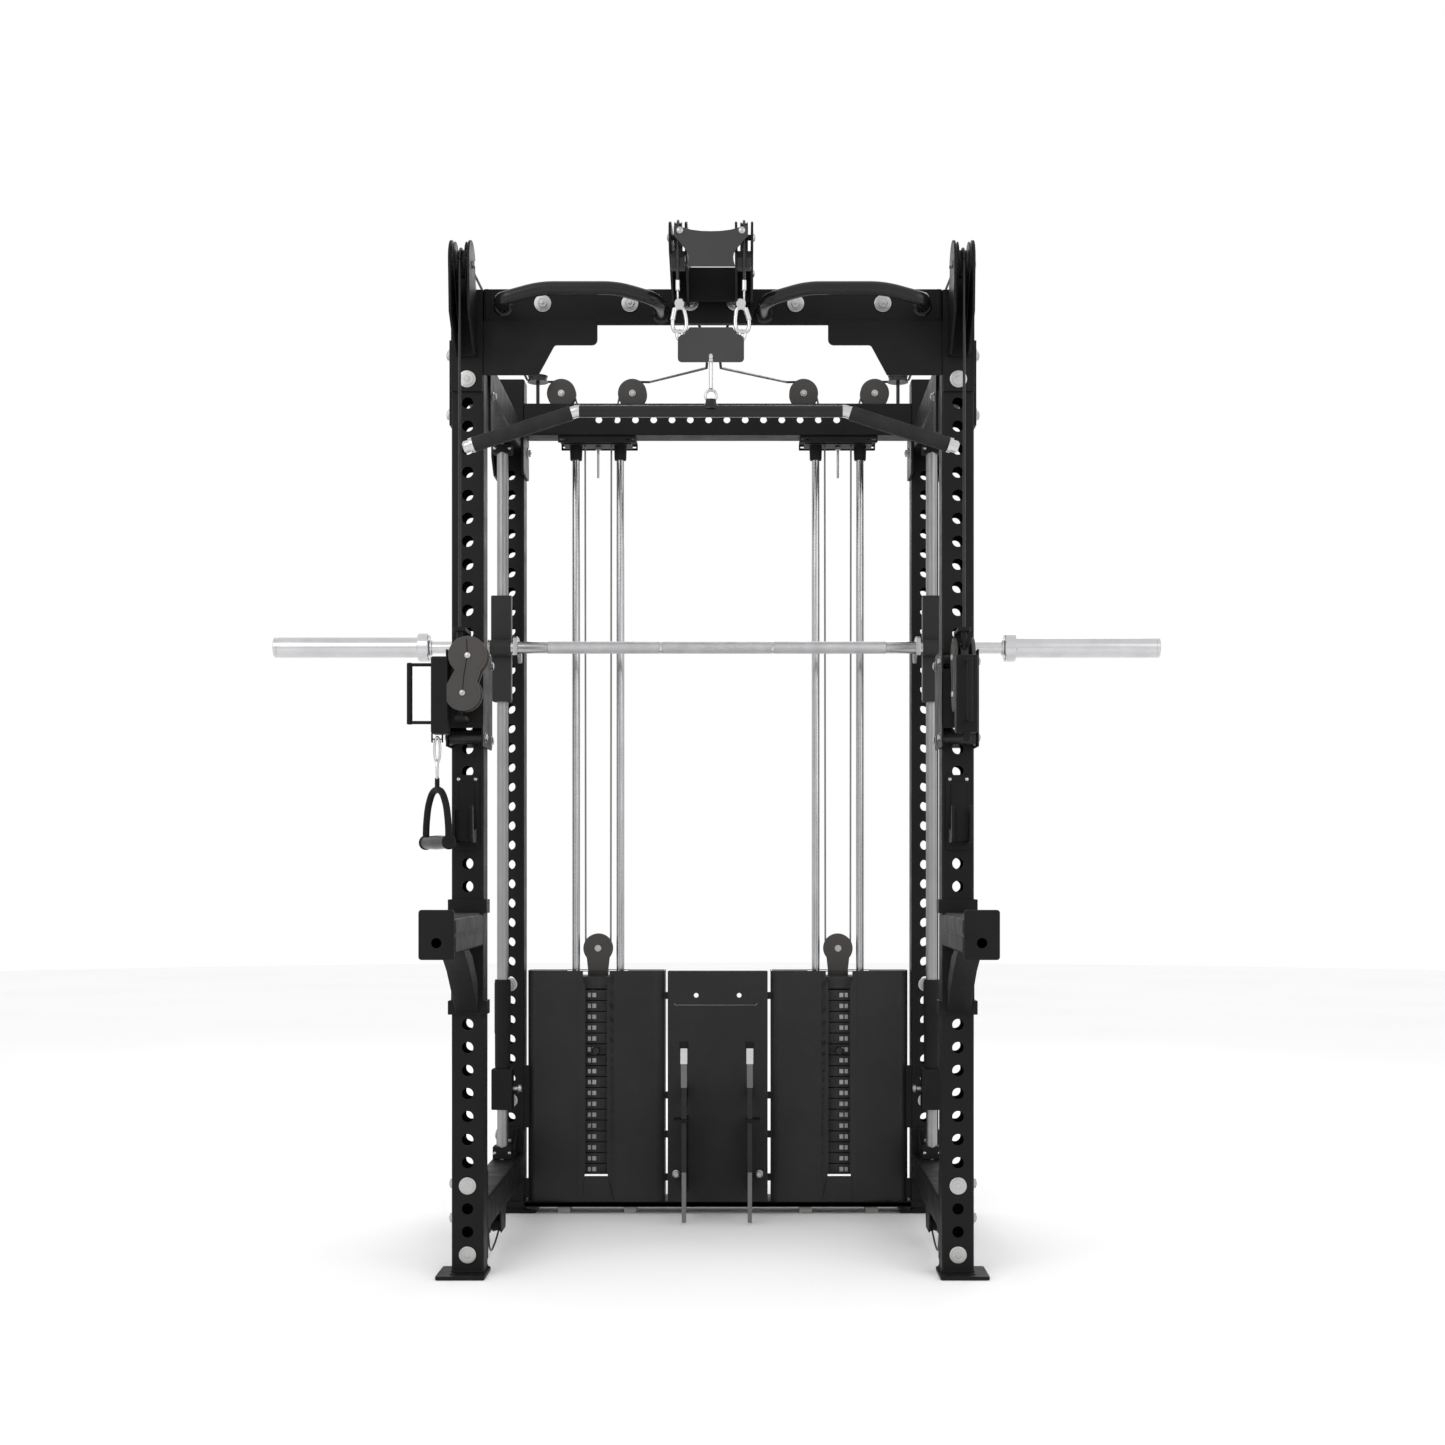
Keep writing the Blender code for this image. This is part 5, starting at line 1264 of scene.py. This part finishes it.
pair("rail", smith_rail, "rail", nodes=["smith_rail_{side}"])
pair("rail_blocks", rail_blocks, "powder")
pair("rail_screws", rail_screws, "zinc")
pair("carriage", carriage, "sheet", "smith_carriage", ["smith_carriage_{side}"])
pair("carriage_edge", carriage_edge, "edge_grey", "smith_carriage")
pair("stop_block", smith_stop, "powder", "smith_stop_{side}", ["smith_stop_{side}"])
pair("stop_cushion", stop_cushion, "rubber", "smith_stop_{side}")
pair("stop_knob", stop_knob, "zinc", "smith_stop_{side}")
piece("shaft", barbell_shaft(), "chrome_bar", "barbell", ["barbell_shaft"])
piece("shaft_knurl", shaft_knurl(), "knurl", "barbell")
pair("lock_hook", lock_hook, "zinc", "barbell")
pair("plate_sleeve", sleeve, "chrome_bar", "sleeve_{side}", ["barbell_sleeve_{side}"])


# ---------------------------------------------------------------- lat station
def lat_housing():
    """Saddle over the crossbeam with forward cheeks that carry the sheaves."""
    shape = Shape()
    front, back = -0.0023, TUBE + 0.0023
    width = (-0.0875, 0.0875)
    shape.block(width, (at(front - 0.008), at(front)), (2.065, 2.160), 0.0015)
    shape.block(width, (at(front - 0.008), at(back + 0.008)), (2.1432, 2.160), 0.0015)
    shape.block(width, (at(back), at(back + 0.006)), (2.090, 2.160), 0.0015)
    shape.block(width, (at(-0.050), at(-0.044)), (2.102, 2.175), 0.0015)
    sheave = (at(LAT_SHEAVE[0]), LAT_SHEAVE[1])
    outline = [(at(0.078), 2.145), (at(0.078), 2.215), (at(0.040), 2.246), (sheave[0], 2.2235)]
    outline += [*arc(sheave, 0.040, 150, 270, 14), (at(-0.060), 2.100), (at(-0.006), 2.100),
                (at(-0.006), 2.145)]
    for side in (-1, 1):
        x = side * LAT_X
        for offset in (-0.0165, 0.0165):
            shape.plate(outline, 0.005, facing_side(x + offset), bevel=0.001)
        shape.bar((x - 0.014, at(0.045), 2.190), (x + 0.014, at(0.045), 2.190), 0.026)
    return shape


def lat_brow():
    """Waisted plate across the front of the two sheaves."""
    right = [(0.020, 2.1905), (0.040, 2.193), (0.060, 2.1985), (0.0740, 2.2020), (0.0762, 2.2000),
             (0.0762, 2.181), (0.066, 2.170), (0.054, 2.156), (0.0475, 2.146), (0.046, 2.139),
             (0.0465, 2.130), (0.050, 2.118)]
    outline = [(0, 2.190), *right, *((-x, z) for x, z in reversed(right))]
    return Shape().plate(outline, 0.005, facing_front(at(-0.237)), bevel=0.001)


def lat_caps():
    """Square blocks under each sheave, beside the plate's waist."""
    shape = Shape()
    for side in (-1, 1):
        x = side * LAT_X
        shape.block((x - 0.0145, x + 0.0145), (at(-0.228), at(-0.200)), (2.119, 2.140), 0.002)
        shape.block((x - 0.0140, x + 0.0140), (at(-0.212), at(-0.204)), (2.136, 2.158), 0.001)
    return shape


def lat_screws():
    shape = Shape()
    for side in (-1, 1):
        shape.button((side * 0.0635, at(-0.2395), 2.1915), (0, -1, 0), 0.0075, 0.004)
        shape.button((side * 0.087, at(LAT_SHEAVE[0]), LAT_SHEAVE[1]), (side, 0, 0), 0.0085, 0.005)
        shape.button((side * 0.087, at(0.045), 2.190), (side, 0, 0), 0.0085, 0.005)
    return shape


def coupler_plate():
    half, low, high = 0.068, 1.924, 1.995
    outline = [*arc((-half + 0.008, low + 0.008), 0.008, 180, 270, 5),
               *arc((half - 0.008, low + 0.008), 0.008, 270, 360, 5), (half, high - 0.022),
               (half - 0.006, high - 0.016), (half - 0.014, high - 0.013), (half - 0.020, high - 0.006),
               (half - 0.024, high), (-half + 0.024, high), (-half + 0.020, high - 0.006),
               (-half + 0.014, high - 0.013), (-half + 0.006, high - 0.016), (-half, high - 0.022)]
    return Shape().plate(outline, 0.006, facing_front(at(LAT_DEPTH)), bevel=0.001)


def full_turn(count):
    """Evenly spaced angles once round a circle."""
    return [2 * math.pi * step / count for step in range(count)]


def spring_hooks():
    """Snap hooks on the coupler, the links above them and the swaged cable ends."""
    shape = Shape()
    y = at(LAT_DEPTH)
    for side, lean in ((-1, 0.0), (1, -0.0030)):
        x = side * 0.0645
        loop = [(x - 0.0085 + lean, y, 2.036), (x + 0.0085 + lean, y, 2.036), (x + 0.0150, y, 2.006),
                (x + 0.0120, y, 1.986), (x - 0.0120, y, 1.986), (x - 0.0150, y, 2.006)]
        shape.pipe(eased(loop, 0.009, 6, closed=True), 0.0042, closed=True)
        shape.bar((x + side * 0.0145, y, 2.010), (x + side * 0.0095 + lean, y, 2.034), 0.0052, sides=20)
        shape.bar((x + lean, y - 0.006, 2.044), (x + lean, y + 0.006, 2.044), 0.0100, 0.002)
        link = [(x + 0.0055 * math.cos(a), y, 1.9790 + 0.0095 * math.sin(a)) for a in full_turn(24)]
        shape.pipe(link, 0.0030, closed=True, resolution=3)
        eye = [(side * LAT_X, y + 0.0050 * math.cos(a), 2.0600 + 0.0130 * math.sin(a)) for a in full_turn(24)]
        shape.pipe(eye, 0.0019, closed=True, resolution=3)
        shape.bar((side * LAT_X, y, 2.071), (side * LAT_X, y, 2.092), 0.0045)
    return shape


def hanger():
    """Bright eye bolt below the coupler."""
    y = at(LAT_DEPTH)
    shape = Shape().bar((0, y, LAT_BAR_Z + 0.046), (0, y, 1.9235), 0.0042)
    shape.prism((0, y, 1.9235), (0, 0, 1), 0.0075, 0.007)
    shape.turn([(0, 0), (0.0042, 0), (0.0062, 0.004), (0.0042, 0.009), (0, 0.009)], (0, y, 1.931), (0, 0, 1),
               24)
    return shape


def lat_bar_centre():
    y = at(LAT_DEPTH)
    shape = Shape().pipe([(-0.272, y, LAT_BAR_Z), (0.272, y, LAT_BAR_Z)], 0.0125, resolution=8)
    profile = [(0, 0), (0.017, 0), (0.0165, 0.004), (0.0115, 0.014), (0.0105, 0.021), (0, 0.022)]
    return shape.turn(profile, (0, y, LAT_BAR_Z + 0.003), (0, 0, 1))


def lat_bar_chrome():
    """Chrome bends and end stubs, and the ring the bar hangs from."""
    y = at(LAT_DEPTH)
    shape = Shape()
    slope = Vector((0.233, 0, -0.075)).normalized()
    for side in (-1, 1):
        lean = Vector((side * slope.x, 0, slope.z))
        bend = Vector((side * 0.275, y, LAT_BAR_Z))
        shape.pipe(eased([(side * 0.270, y, LAT_BAR_Z), bend, bend + lean * 0.018], 0.004), 0.0128,
                   resolution=8)
        end = Vector((side * 0.508, y, 1.748))
        shape.bar(end - lean * 0.024, end, 0.0125, 0.004)
        shape.bar(end - lean * 0.022, end - lean * 0.014, 0.0155, 0.001)
    ring = [(0.0115 * math.cos(a), y, LAT_BAR_Z + 0.032 + 0.0115 * math.sin(a)) for a in full_turn(30)]
    return shape.pipe(ring, 0.0029, closed=True)


def lat_grips():
    y = at(LAT_DEPTH)
    shape = Shape()
    slope = Vector((0.233, 0, -0.075)).normalized()
    for side in (-1, 1):
        lean = Vector((side * slope.x, 0, slope.z))
        start = Vector((side * 0.275, y, LAT_BAR_Z)) + lean * 0.012
        end = Vector((side * 0.508, y, 1.748)) - lean * 0.022
        length = (end - start).length
        profile = [(0, 0), (0.0140, 0), (0.0160, 0.003), (0.0150, 0.010), (0.0155, length * 0.5),
                   (0.0150, length - 0.010), (0.0160, length - 0.003), (0.0140, length), (0, length)]
        shape.turn(profile, start, lean, 40)
    return shape


piece("lat_saddle", lat_housing(), "powder", stands_for=["lat_pulley_housing"])
piece("lat_brow", lat_brow(), "coupler")
piece("lat_caps", lat_caps(), "sheet")
piece("lat_screws", lat_screws(), "zinc")
piece("coupler_sheet", coupler_plate(), "coupler", "lat_coupler", ["coupler_plate"])
piece("spring_hooks", spring_hooks(), "chrome_bar", "lat_coupler")
piece("hanger_bolt", hanger(), "chrome_bar", "lat_coupler")
piece("lat_bar_centre", lat_bar_centre(), "gloss_black", "lat_bar", ["lat_bar"])
piece("lat_bar_chrome", lat_bar_chrome(), "chrome_bar", "lat_bar")
piece("lat_grips", lat_grips(), "rubber_ribbed", "lat_bar")


# ---------------------------------------------------------------- trolleys and swivel heads
def trolley():
    """Carriage round the upright: front plate with its tongue, side plates and pivot lugs; its bare rollers
    are a separate piece.
    """
    shape = Shape()
    low, high = 1.147, 1.356
    near, far = 0.0365, 0.0400
    front = rectangle((UPRIGHT_X - far, UPRIGHT_X + far), (1.187, 1.314), 0.006)
    shape.plate(front, 0.006, facing_front(at(-0.044)), bevel=0.001)
    side = [(at(-0.047), low), (at(0.098), low), (at(0.108), low + 0.012), (at(0.108), high - 0.012),
            (at(0.098), high), (at(-0.047), high)]
    for face in (-1, 1):
        shape.plate(side, far - near, facing_side(UPRIGHT_X + face * (near + far) / 2), bevel=0.0008)
    for z in (1.1985, 1.3852):
        lug = rectangle((UPRIGHT_X - 0.014, UPRIGHT_X + 0.014), (at(HEAD_DEPTH - 0.014), at(-0.043)), 0.009)
        eye = arc((UPRIGHT_X, at(HEAD_DEPTH)), 0.0068, 0, 345, 23)
        shape.plate(lug, 0.008, facing_up(z + 0.004), [eye], bevel=0.001)
    shape.block((UPRIGHT_X - 0.014, UPRIGHT_X + 0.014), (at(-0.047), at(-0.041)), (1.308, 1.3932), 0.001)
    return shape


def trolley_rollers():
    """The four rollers that run on the upright's faces."""
    shape = Shape()
    profile = [(0, 0), (0.0160, 0), (0.0170, 0.001), (0.0170, 0.010), (0.0165, 0.0108), (0.0165, 0.0618),
               (0.0170, 0.0626), (0.0170, 0.0716), (0.0160, 0.0726), (0, 0.0726)]
    for z in ROLLER_Z:
        for depth in (-0.0175, 0.0875):
            shape.turn(profile, (UPRIGHT_X - 0.0363, at(depth), z), (1, 0, 0))
    return shape


def trolley_screws():
    """Bright axle ends of the rollers."""
    shape = Shape()
    for z in ROLLER_Z:
        for depth in (-0.0175, 0.0875):
            for face in (-1, 1):
                place = Vector((UPRIGHT_X + face * 0.0400, at(depth), z))
                shape.turn([(0, 0), (0.0105, 0), (0.0105, 0.0012), (0, 0.0014)], place, (face, 0, 0))
                shape.prism(place, (face, 0, 0), 0.0085, 0.0055)
                shape.button(place + Vector((face * 0.0055, 0, 0)), (face, 0, 0), 0.0045, 0.0015)
    return shape


def head_outline(grow=0.0):
    """Two-lobed cover outline in (X, Z), X measured outboard from the pivot."""
    upper = arc((-0.0195, 1.333), 0.041 + grow, -48, 228, 36)
    lower = arc((-0.0085, 1.254), 0.038 + grow, 142, 398, 34)
    return upper + lower


def head_cover():
    """Two moulded covers with a raised rim; the wheels and hubs between them are a separate piece."""
    shape = Shape()
    for face in (-1, 1):
        shape.plate(head_outline(), 0.007, facing_front(face * 0.0188), bevel=0.0016)
        shape.plate(head_outline(-0.006), 0.002, facing_front(face * 0.0222), bevel=0.0007)
    return shape


def head_seams():
    """Joint lines of the covers, laid as dark fillets."""
    shape = Shape()
    for face in (-1, 1):
        y = face * 0.0232
        shape.pipe([(-0.018, y, 1.367), (-0.0195, y, 1.333), (-0.012, y, 1.290), (-0.0085, y, 1.246)], 0.0009,
                   resolution=2)
    return shape


def head_wheels():
    shape = Shape()
    for x, z in ((-0.0195, 1.333), (-0.0085, 1.254)):
        shape.take(pulley((x, 0, z), (0, 1, 0)).bm)
    return shape


def head_frame():
    """Pivot pins, yoke and the clevis that a handle hangs from."""
    shape = Shape()
    shape.block((0.022, 0.058), (-0.023, 0.023), (1.168, 1.331), 0.004)
    shape.bar((0, 0, 1.300), (0, 0, 1.3932), 0.0062)
    shape.bar((0, 0, 1.1985), (0, 0, 1.270), 0.0062)
    for offset in (-0.0110, 0.0110):
        shape.block((0.0465 + offset, 0.0485 + offset), (-0.006, 0.006), (1.151, 1.170), 0.0006)
    shape.bar((0.0355, 0, 1.158), (0.0595, 0, 1.158), 0.0014)
    return shape


def head_handle():
    """Thin arms that carry the upright grip."""
    shape = Shape()
    path = eased([(0.050, 0, 1.3150), (0.1057, 0, 1.3150), (0.1057, 0, 1.1930), (0.050, 0, 1.1930)], 0.006)
    return shape.pipe(path, 0.0036)


def head_grip():
    return Shape().bar((0.1057, 0, 1.1890), (0.1057, 0, 1.3190), 0.0060, 0.0015)


def head_screws():
    shape = Shape()
    for face in (-1, 1):
        for x, z in ((-0.0195, 1.333), (-0.0085, 1.254)):
            shape.button((x, face * 0.0230, z), (0, face, 0), 0.0068, 0.0035)
    return shape


def swivel_head(name, build, look, nodes=()):
    """A head piece on both sides: the left head faces outboard, the right one is swung to face the user."""
    for side, sign in (("left", -1), ("right", 1)):
        shape = build()
        if side == "left":
            shape.mirrored()
        place = Matrix.Translation((sign * UPRIGHT_X, at(HEAD_DEPTH), 0))
        if side == "right":
            place = place @ Matrix.Rotation(math.radians(-90), 4, "Z")
        piece(f"{name}_{side}", shape.moved(place), look, f"swivel_head_{side}",
              [n.format(side=side) for n in nodes])


pair("trolley_plates", trolley, "powder", "trolley_{side}", ["trolley_{side}"])
pair("trolley_rollers", trolley_rollers, "gloss_black", "trolley_{side}")
pair("trolley_screws", trolley_screws, "chrome", "trolley_{side}")
swivel_head("head_cover", head_cover, "cover", ["swivel_head_{side}"])
swivel_head("head_seams", head_seams, "rubber")
swivel_head("head_wheels", head_wheels, "nylon")
swivel_head("head_frame", head_frame, "powder")
swivel_head("head_handle", head_handle, "powder")
swivel_head("head_grip", head_grip, "rubber")
swivel_head("head_screws", head_screws, "zinc")


# ---------------------------------------------------------------- stirrup handle
HANDLE = (-0.580, at(HEAD_DEPTH))
HANDLE_TURN = math.radians(-57)


def handle_point(u, z):
    """A point of the stirrup, u along the grip."""
    return HANDLE[0] + u * math.cos(HANDLE_TURN), HANDLE[1] + u * math.sin(HANDLE_TURN), z


def chain():
    """Two crossed links between the head and the stirrup."""
    x, y = HANDLE
    upper = [(x + 0.0060 * math.cos(a), y, 1.1355 + 0.0270 * math.sin(a)) for a in full_turn(24)]
    lower = [(x, y + 0.0075 * math.cos(a), 1.0935 + 0.0200 * math.sin(a)) for a in full_turn(24)]
    return Shape().pipe(upper, 0.0028, closed=True).pipe(lower, 0.0026, closed=True)


def stirrup():
    """Moulded bow with its neck and end discs."""
    half = [(0.026, 1.046), (0.047, 1.018), (0.0575, 0.975), (0.058, 0.940)]
    arch = [*((-u, z) for u, z in reversed(half)), (0, 1.053), *half]
    shape = Shape().pipe(eased([handle_point(u, z) for u, z in arch], 0.02, 6), 0.0072)
    for sign in (-1, 1):
        shape.bar(handle_point(sign * 0.0535, 0.940), handle_point(sign * 0.064, 0.940), 0.0155, 0.003)
    return shape.bar((*HANDLE, 1.048), (*HANDLE, 1.0765), 0.0050, 0.0015)


def stirrup_grip():
    shape = Shape()
    start, end = Vector(handle_point(-0.055, 0.940)), Vector(handle_point(0.055, 0.940))
    profile = [(0, 0), (0.0140, 0), (0.0135, 0.010), (0.0150, 0.045), (0.0150, 0.065), (0.0135, 0.100),
               (0.0140, 0.110), (0, 0.110)]
    return shape.turn(profile, start, end - start, 40)


piece("handle_chain", chain(), "chrome_bar", "d_handle")
piece("handle_bow", stirrup(), "rubber", "d_handle", ["d_handle"])
piece("handle_grip", stirrup_grip(), "gloss_black", "d_handle")


# ---------------------------------------------------------------- spotter arms and J-cups
def spotter_arm():
    """Box arm with its brace, wrapped bracket and end plate."""
    shape = Shape()
    half = TUBE / 2
    x = (UPRIGHT_X - half, UPRIGHT_X + half)
    shape.tube_along("y", x, (0.717, 0.787), (at(-0.420), at(-0.006)), 0.005)
    end = rectangle(x, (0.706, 0.804), 0.006)
    shape.plate(end, 0.006, facing_front(at(-0.423)), [arc((UPRIGHT_X, 0.739), 0.010, 0, 345, 23)],
                bevel=0.001)
    brace = [(at(-0.006), 0.570), (at(-0.006), 0.632), (at(-0.100), 0.700), (at(-0.160), 0.719),
             (at(-0.235), 0.719), (at(-0.135), 0.668), (at(-0.060), 0.612)]
    shape.plate(brace, 0.050, facing_side(UPRIGHT_X), bevel=0.002)
    for low, high in ((0.568, 0.598), (0.788, 0.818)):
        shape.block((x[0] - 0.007, x[1] + 0.007), (at(-0.0063), at(-0.0003)), (low, high), 0.001)
        for face in (-1, 1):
            ear = sorted((UPRIGHT_X + face * (half + 0.0005), UPRIGHT_X + face * (half + 0.007)))
            shape.block(ear, (at(-0.006), at(0.050)), (low, high), 0.001)
    shape.block(x, (at(-0.0062), at(-0.0003)), (0.590, 0.800), 0.001)
    return shape


def arm_liner():
    """Paler liner strips on the arm's inner and upper faces."""
    shape = Shape()
    inner = UPRIGHT_X - TUBE / 2
    shape.block((inner - 0.0016, inner), (at(-0.415), at(-0.012)), (0.757, 0.783), 0.0006)
    shape.block((inner - 0.0016, inner), (at(-0.415), at(-0.012)), (0.721, 0.749), 0.0006)
    shape.block((inner + 0.006, inner + TUBE - 0.006), (at(-0.415), at(-0.012)), (0.787, 0.7895), 0.0006)
    return shape


def j_cup():
    """Back plate with its pegs, shelf and rounded front lip."""
    shape = Shape()
    back = rectangle((UPRIGHT_X - 0.026, UPRIGHT_X + 0.026), (0.925, 1.088), 0.006)
    shape.plate(back, 0.006, facing_front(at(-0.0036)), bevel=0.001)
    cup = [(at(-0.004), 0.940), (at(-0.004), 0.974), (at(-0.050), 0.966), (at(-0.060), 0.974),
           (at(-0.066), 1.014), *arc((at(-0.072), 1.014), 0.006, 0, 180, 6), (at(-0.078), 0.956),
           (at(-0.070), 0.942), (at(-0.060), 0.940)]
    for face in (-1, 1):
        shape.plate(cup, 0.006, facing_side(UPRIGHT_X + face * 0.019), bevel=0.001)
    for z in (0.946, 1.046):
        shape.bar((UPRIGHT_X, at(-0.004), z), (UPRIGHT_X, at(0.055), z), 0.0095, 0.002)
    return shape


def j_cup_pad():
    """Moulded liner that the bar rests on."""
    shape = Shape()
    liner = [(at(-0.0066), 0.944), (at(-0.0066), 1.070), (at(-0.0096), 1.072), (at(-0.0110), 0.980),
             (at(-0.020), 0.9735), (at(-0.050), 0.9725), (at(-0.057), 0.980), (at(-0.062), 1.012),
             (at(-0.066), 1.012), (at(-0.064), 0.960), (at(-0.056), 0.946)]
    return shape.plate(liner, 0.032, facing_side(UPRIGHT_X), bevel=0.001)


def j_cup_screws():
    shape = Shape()
    for x in (-0.0183, 0.0183):
        shape.button((UPRIGHT_X + x, at(-0.0066), 1.0785), (0, -1, 0), 0.0040, 0.002)
    return shape


pair("spotter_box", spotter_arm, "powder", nodes=["spotter_arm_{side}"])
pair("spotter_liner", arm_liner, "sheet")
pair("j_cup_body", j_cup, "powder", nodes=["j_cup_{side}"])
pair("j_cup_pad", j_cup_pad, "rubber")
pair("j_cup_screws", j_cup_screws, "zinc")


# ---------------------------------------------------------------- studio
def studio():
    """Pale floor, bright plain surroundings and soft lights."""
    bpy.ops.mesh.primitive_circle_add(vertices=96, radius=14.0, fill_type="NGON", location=(0, 0, -0.0005))
    floor = bpy.context.object
    floor.name = "studio_floor"
    g = Graph("pale_floor")
    g.set("Base Color", g.mix(g.spread(g.noise(0.8), 0.0, 1.0), (0.93, 0.93, 0.93, 1), (0.96, 0.96, 0.96, 1)))
    g.set("Roughness", 0.9)
    floor.data.materials.append(g.material)
    world = bpy.data.worlds.new("studio_world")
    world.use_nodes = True
    world.node_tree.nodes["Background"].inputs["Color"].default_value = (1.0, 1.0, 1.0, 1.0)
    world.node_tree.nodes["Background"].inputs["Strength"].default_value = 1.0
    bpy.context.scene.world = world
    lights = (
        ("key", (-2.6, -3.8, 3.8), 3.0, 55.0),
        ("fill", (3.2, -3.0, 2.6), 3.0, 30.0),
        ("rear", (0.5, 3.6, 3.6), 3.0, 40.0),
    )
    for name, place, size, power in lights:
        data = bpy.data.lights.new(name, "AREA")
        data.size = size
        data.energy = power
        lamp = bpy.data.objects.new(name, data)
        lamp.location = place
        aim = Vector((0, 0, 1.1)) - Vector(place)
        lamp.rotation_euler = aim.to_track_quat("-Z", "Y").to_euler()
        bpy.context.collection.objects.link(lamp)


def camera():
    data = bpy.data.cameras.new("camera")
    data.sensor_width = 36.0
    data.lens = 48.2
    data.shift_x = -0.0155
    data.shift_y = 0.102
    eye = bpy.data.objects.new("camera", data)
    eye.location = (0.0697, FRONT_FACE_Y - 4.2, 0.882)
    eye.rotation_euler = (math.radians(90), 0, 0)
    bpy.context.collection.objects.link(eye)
    bpy.context.scene.camera = eye


studio()
camera()
bpy.context.scene.view_settings.view_transform = "Standard"
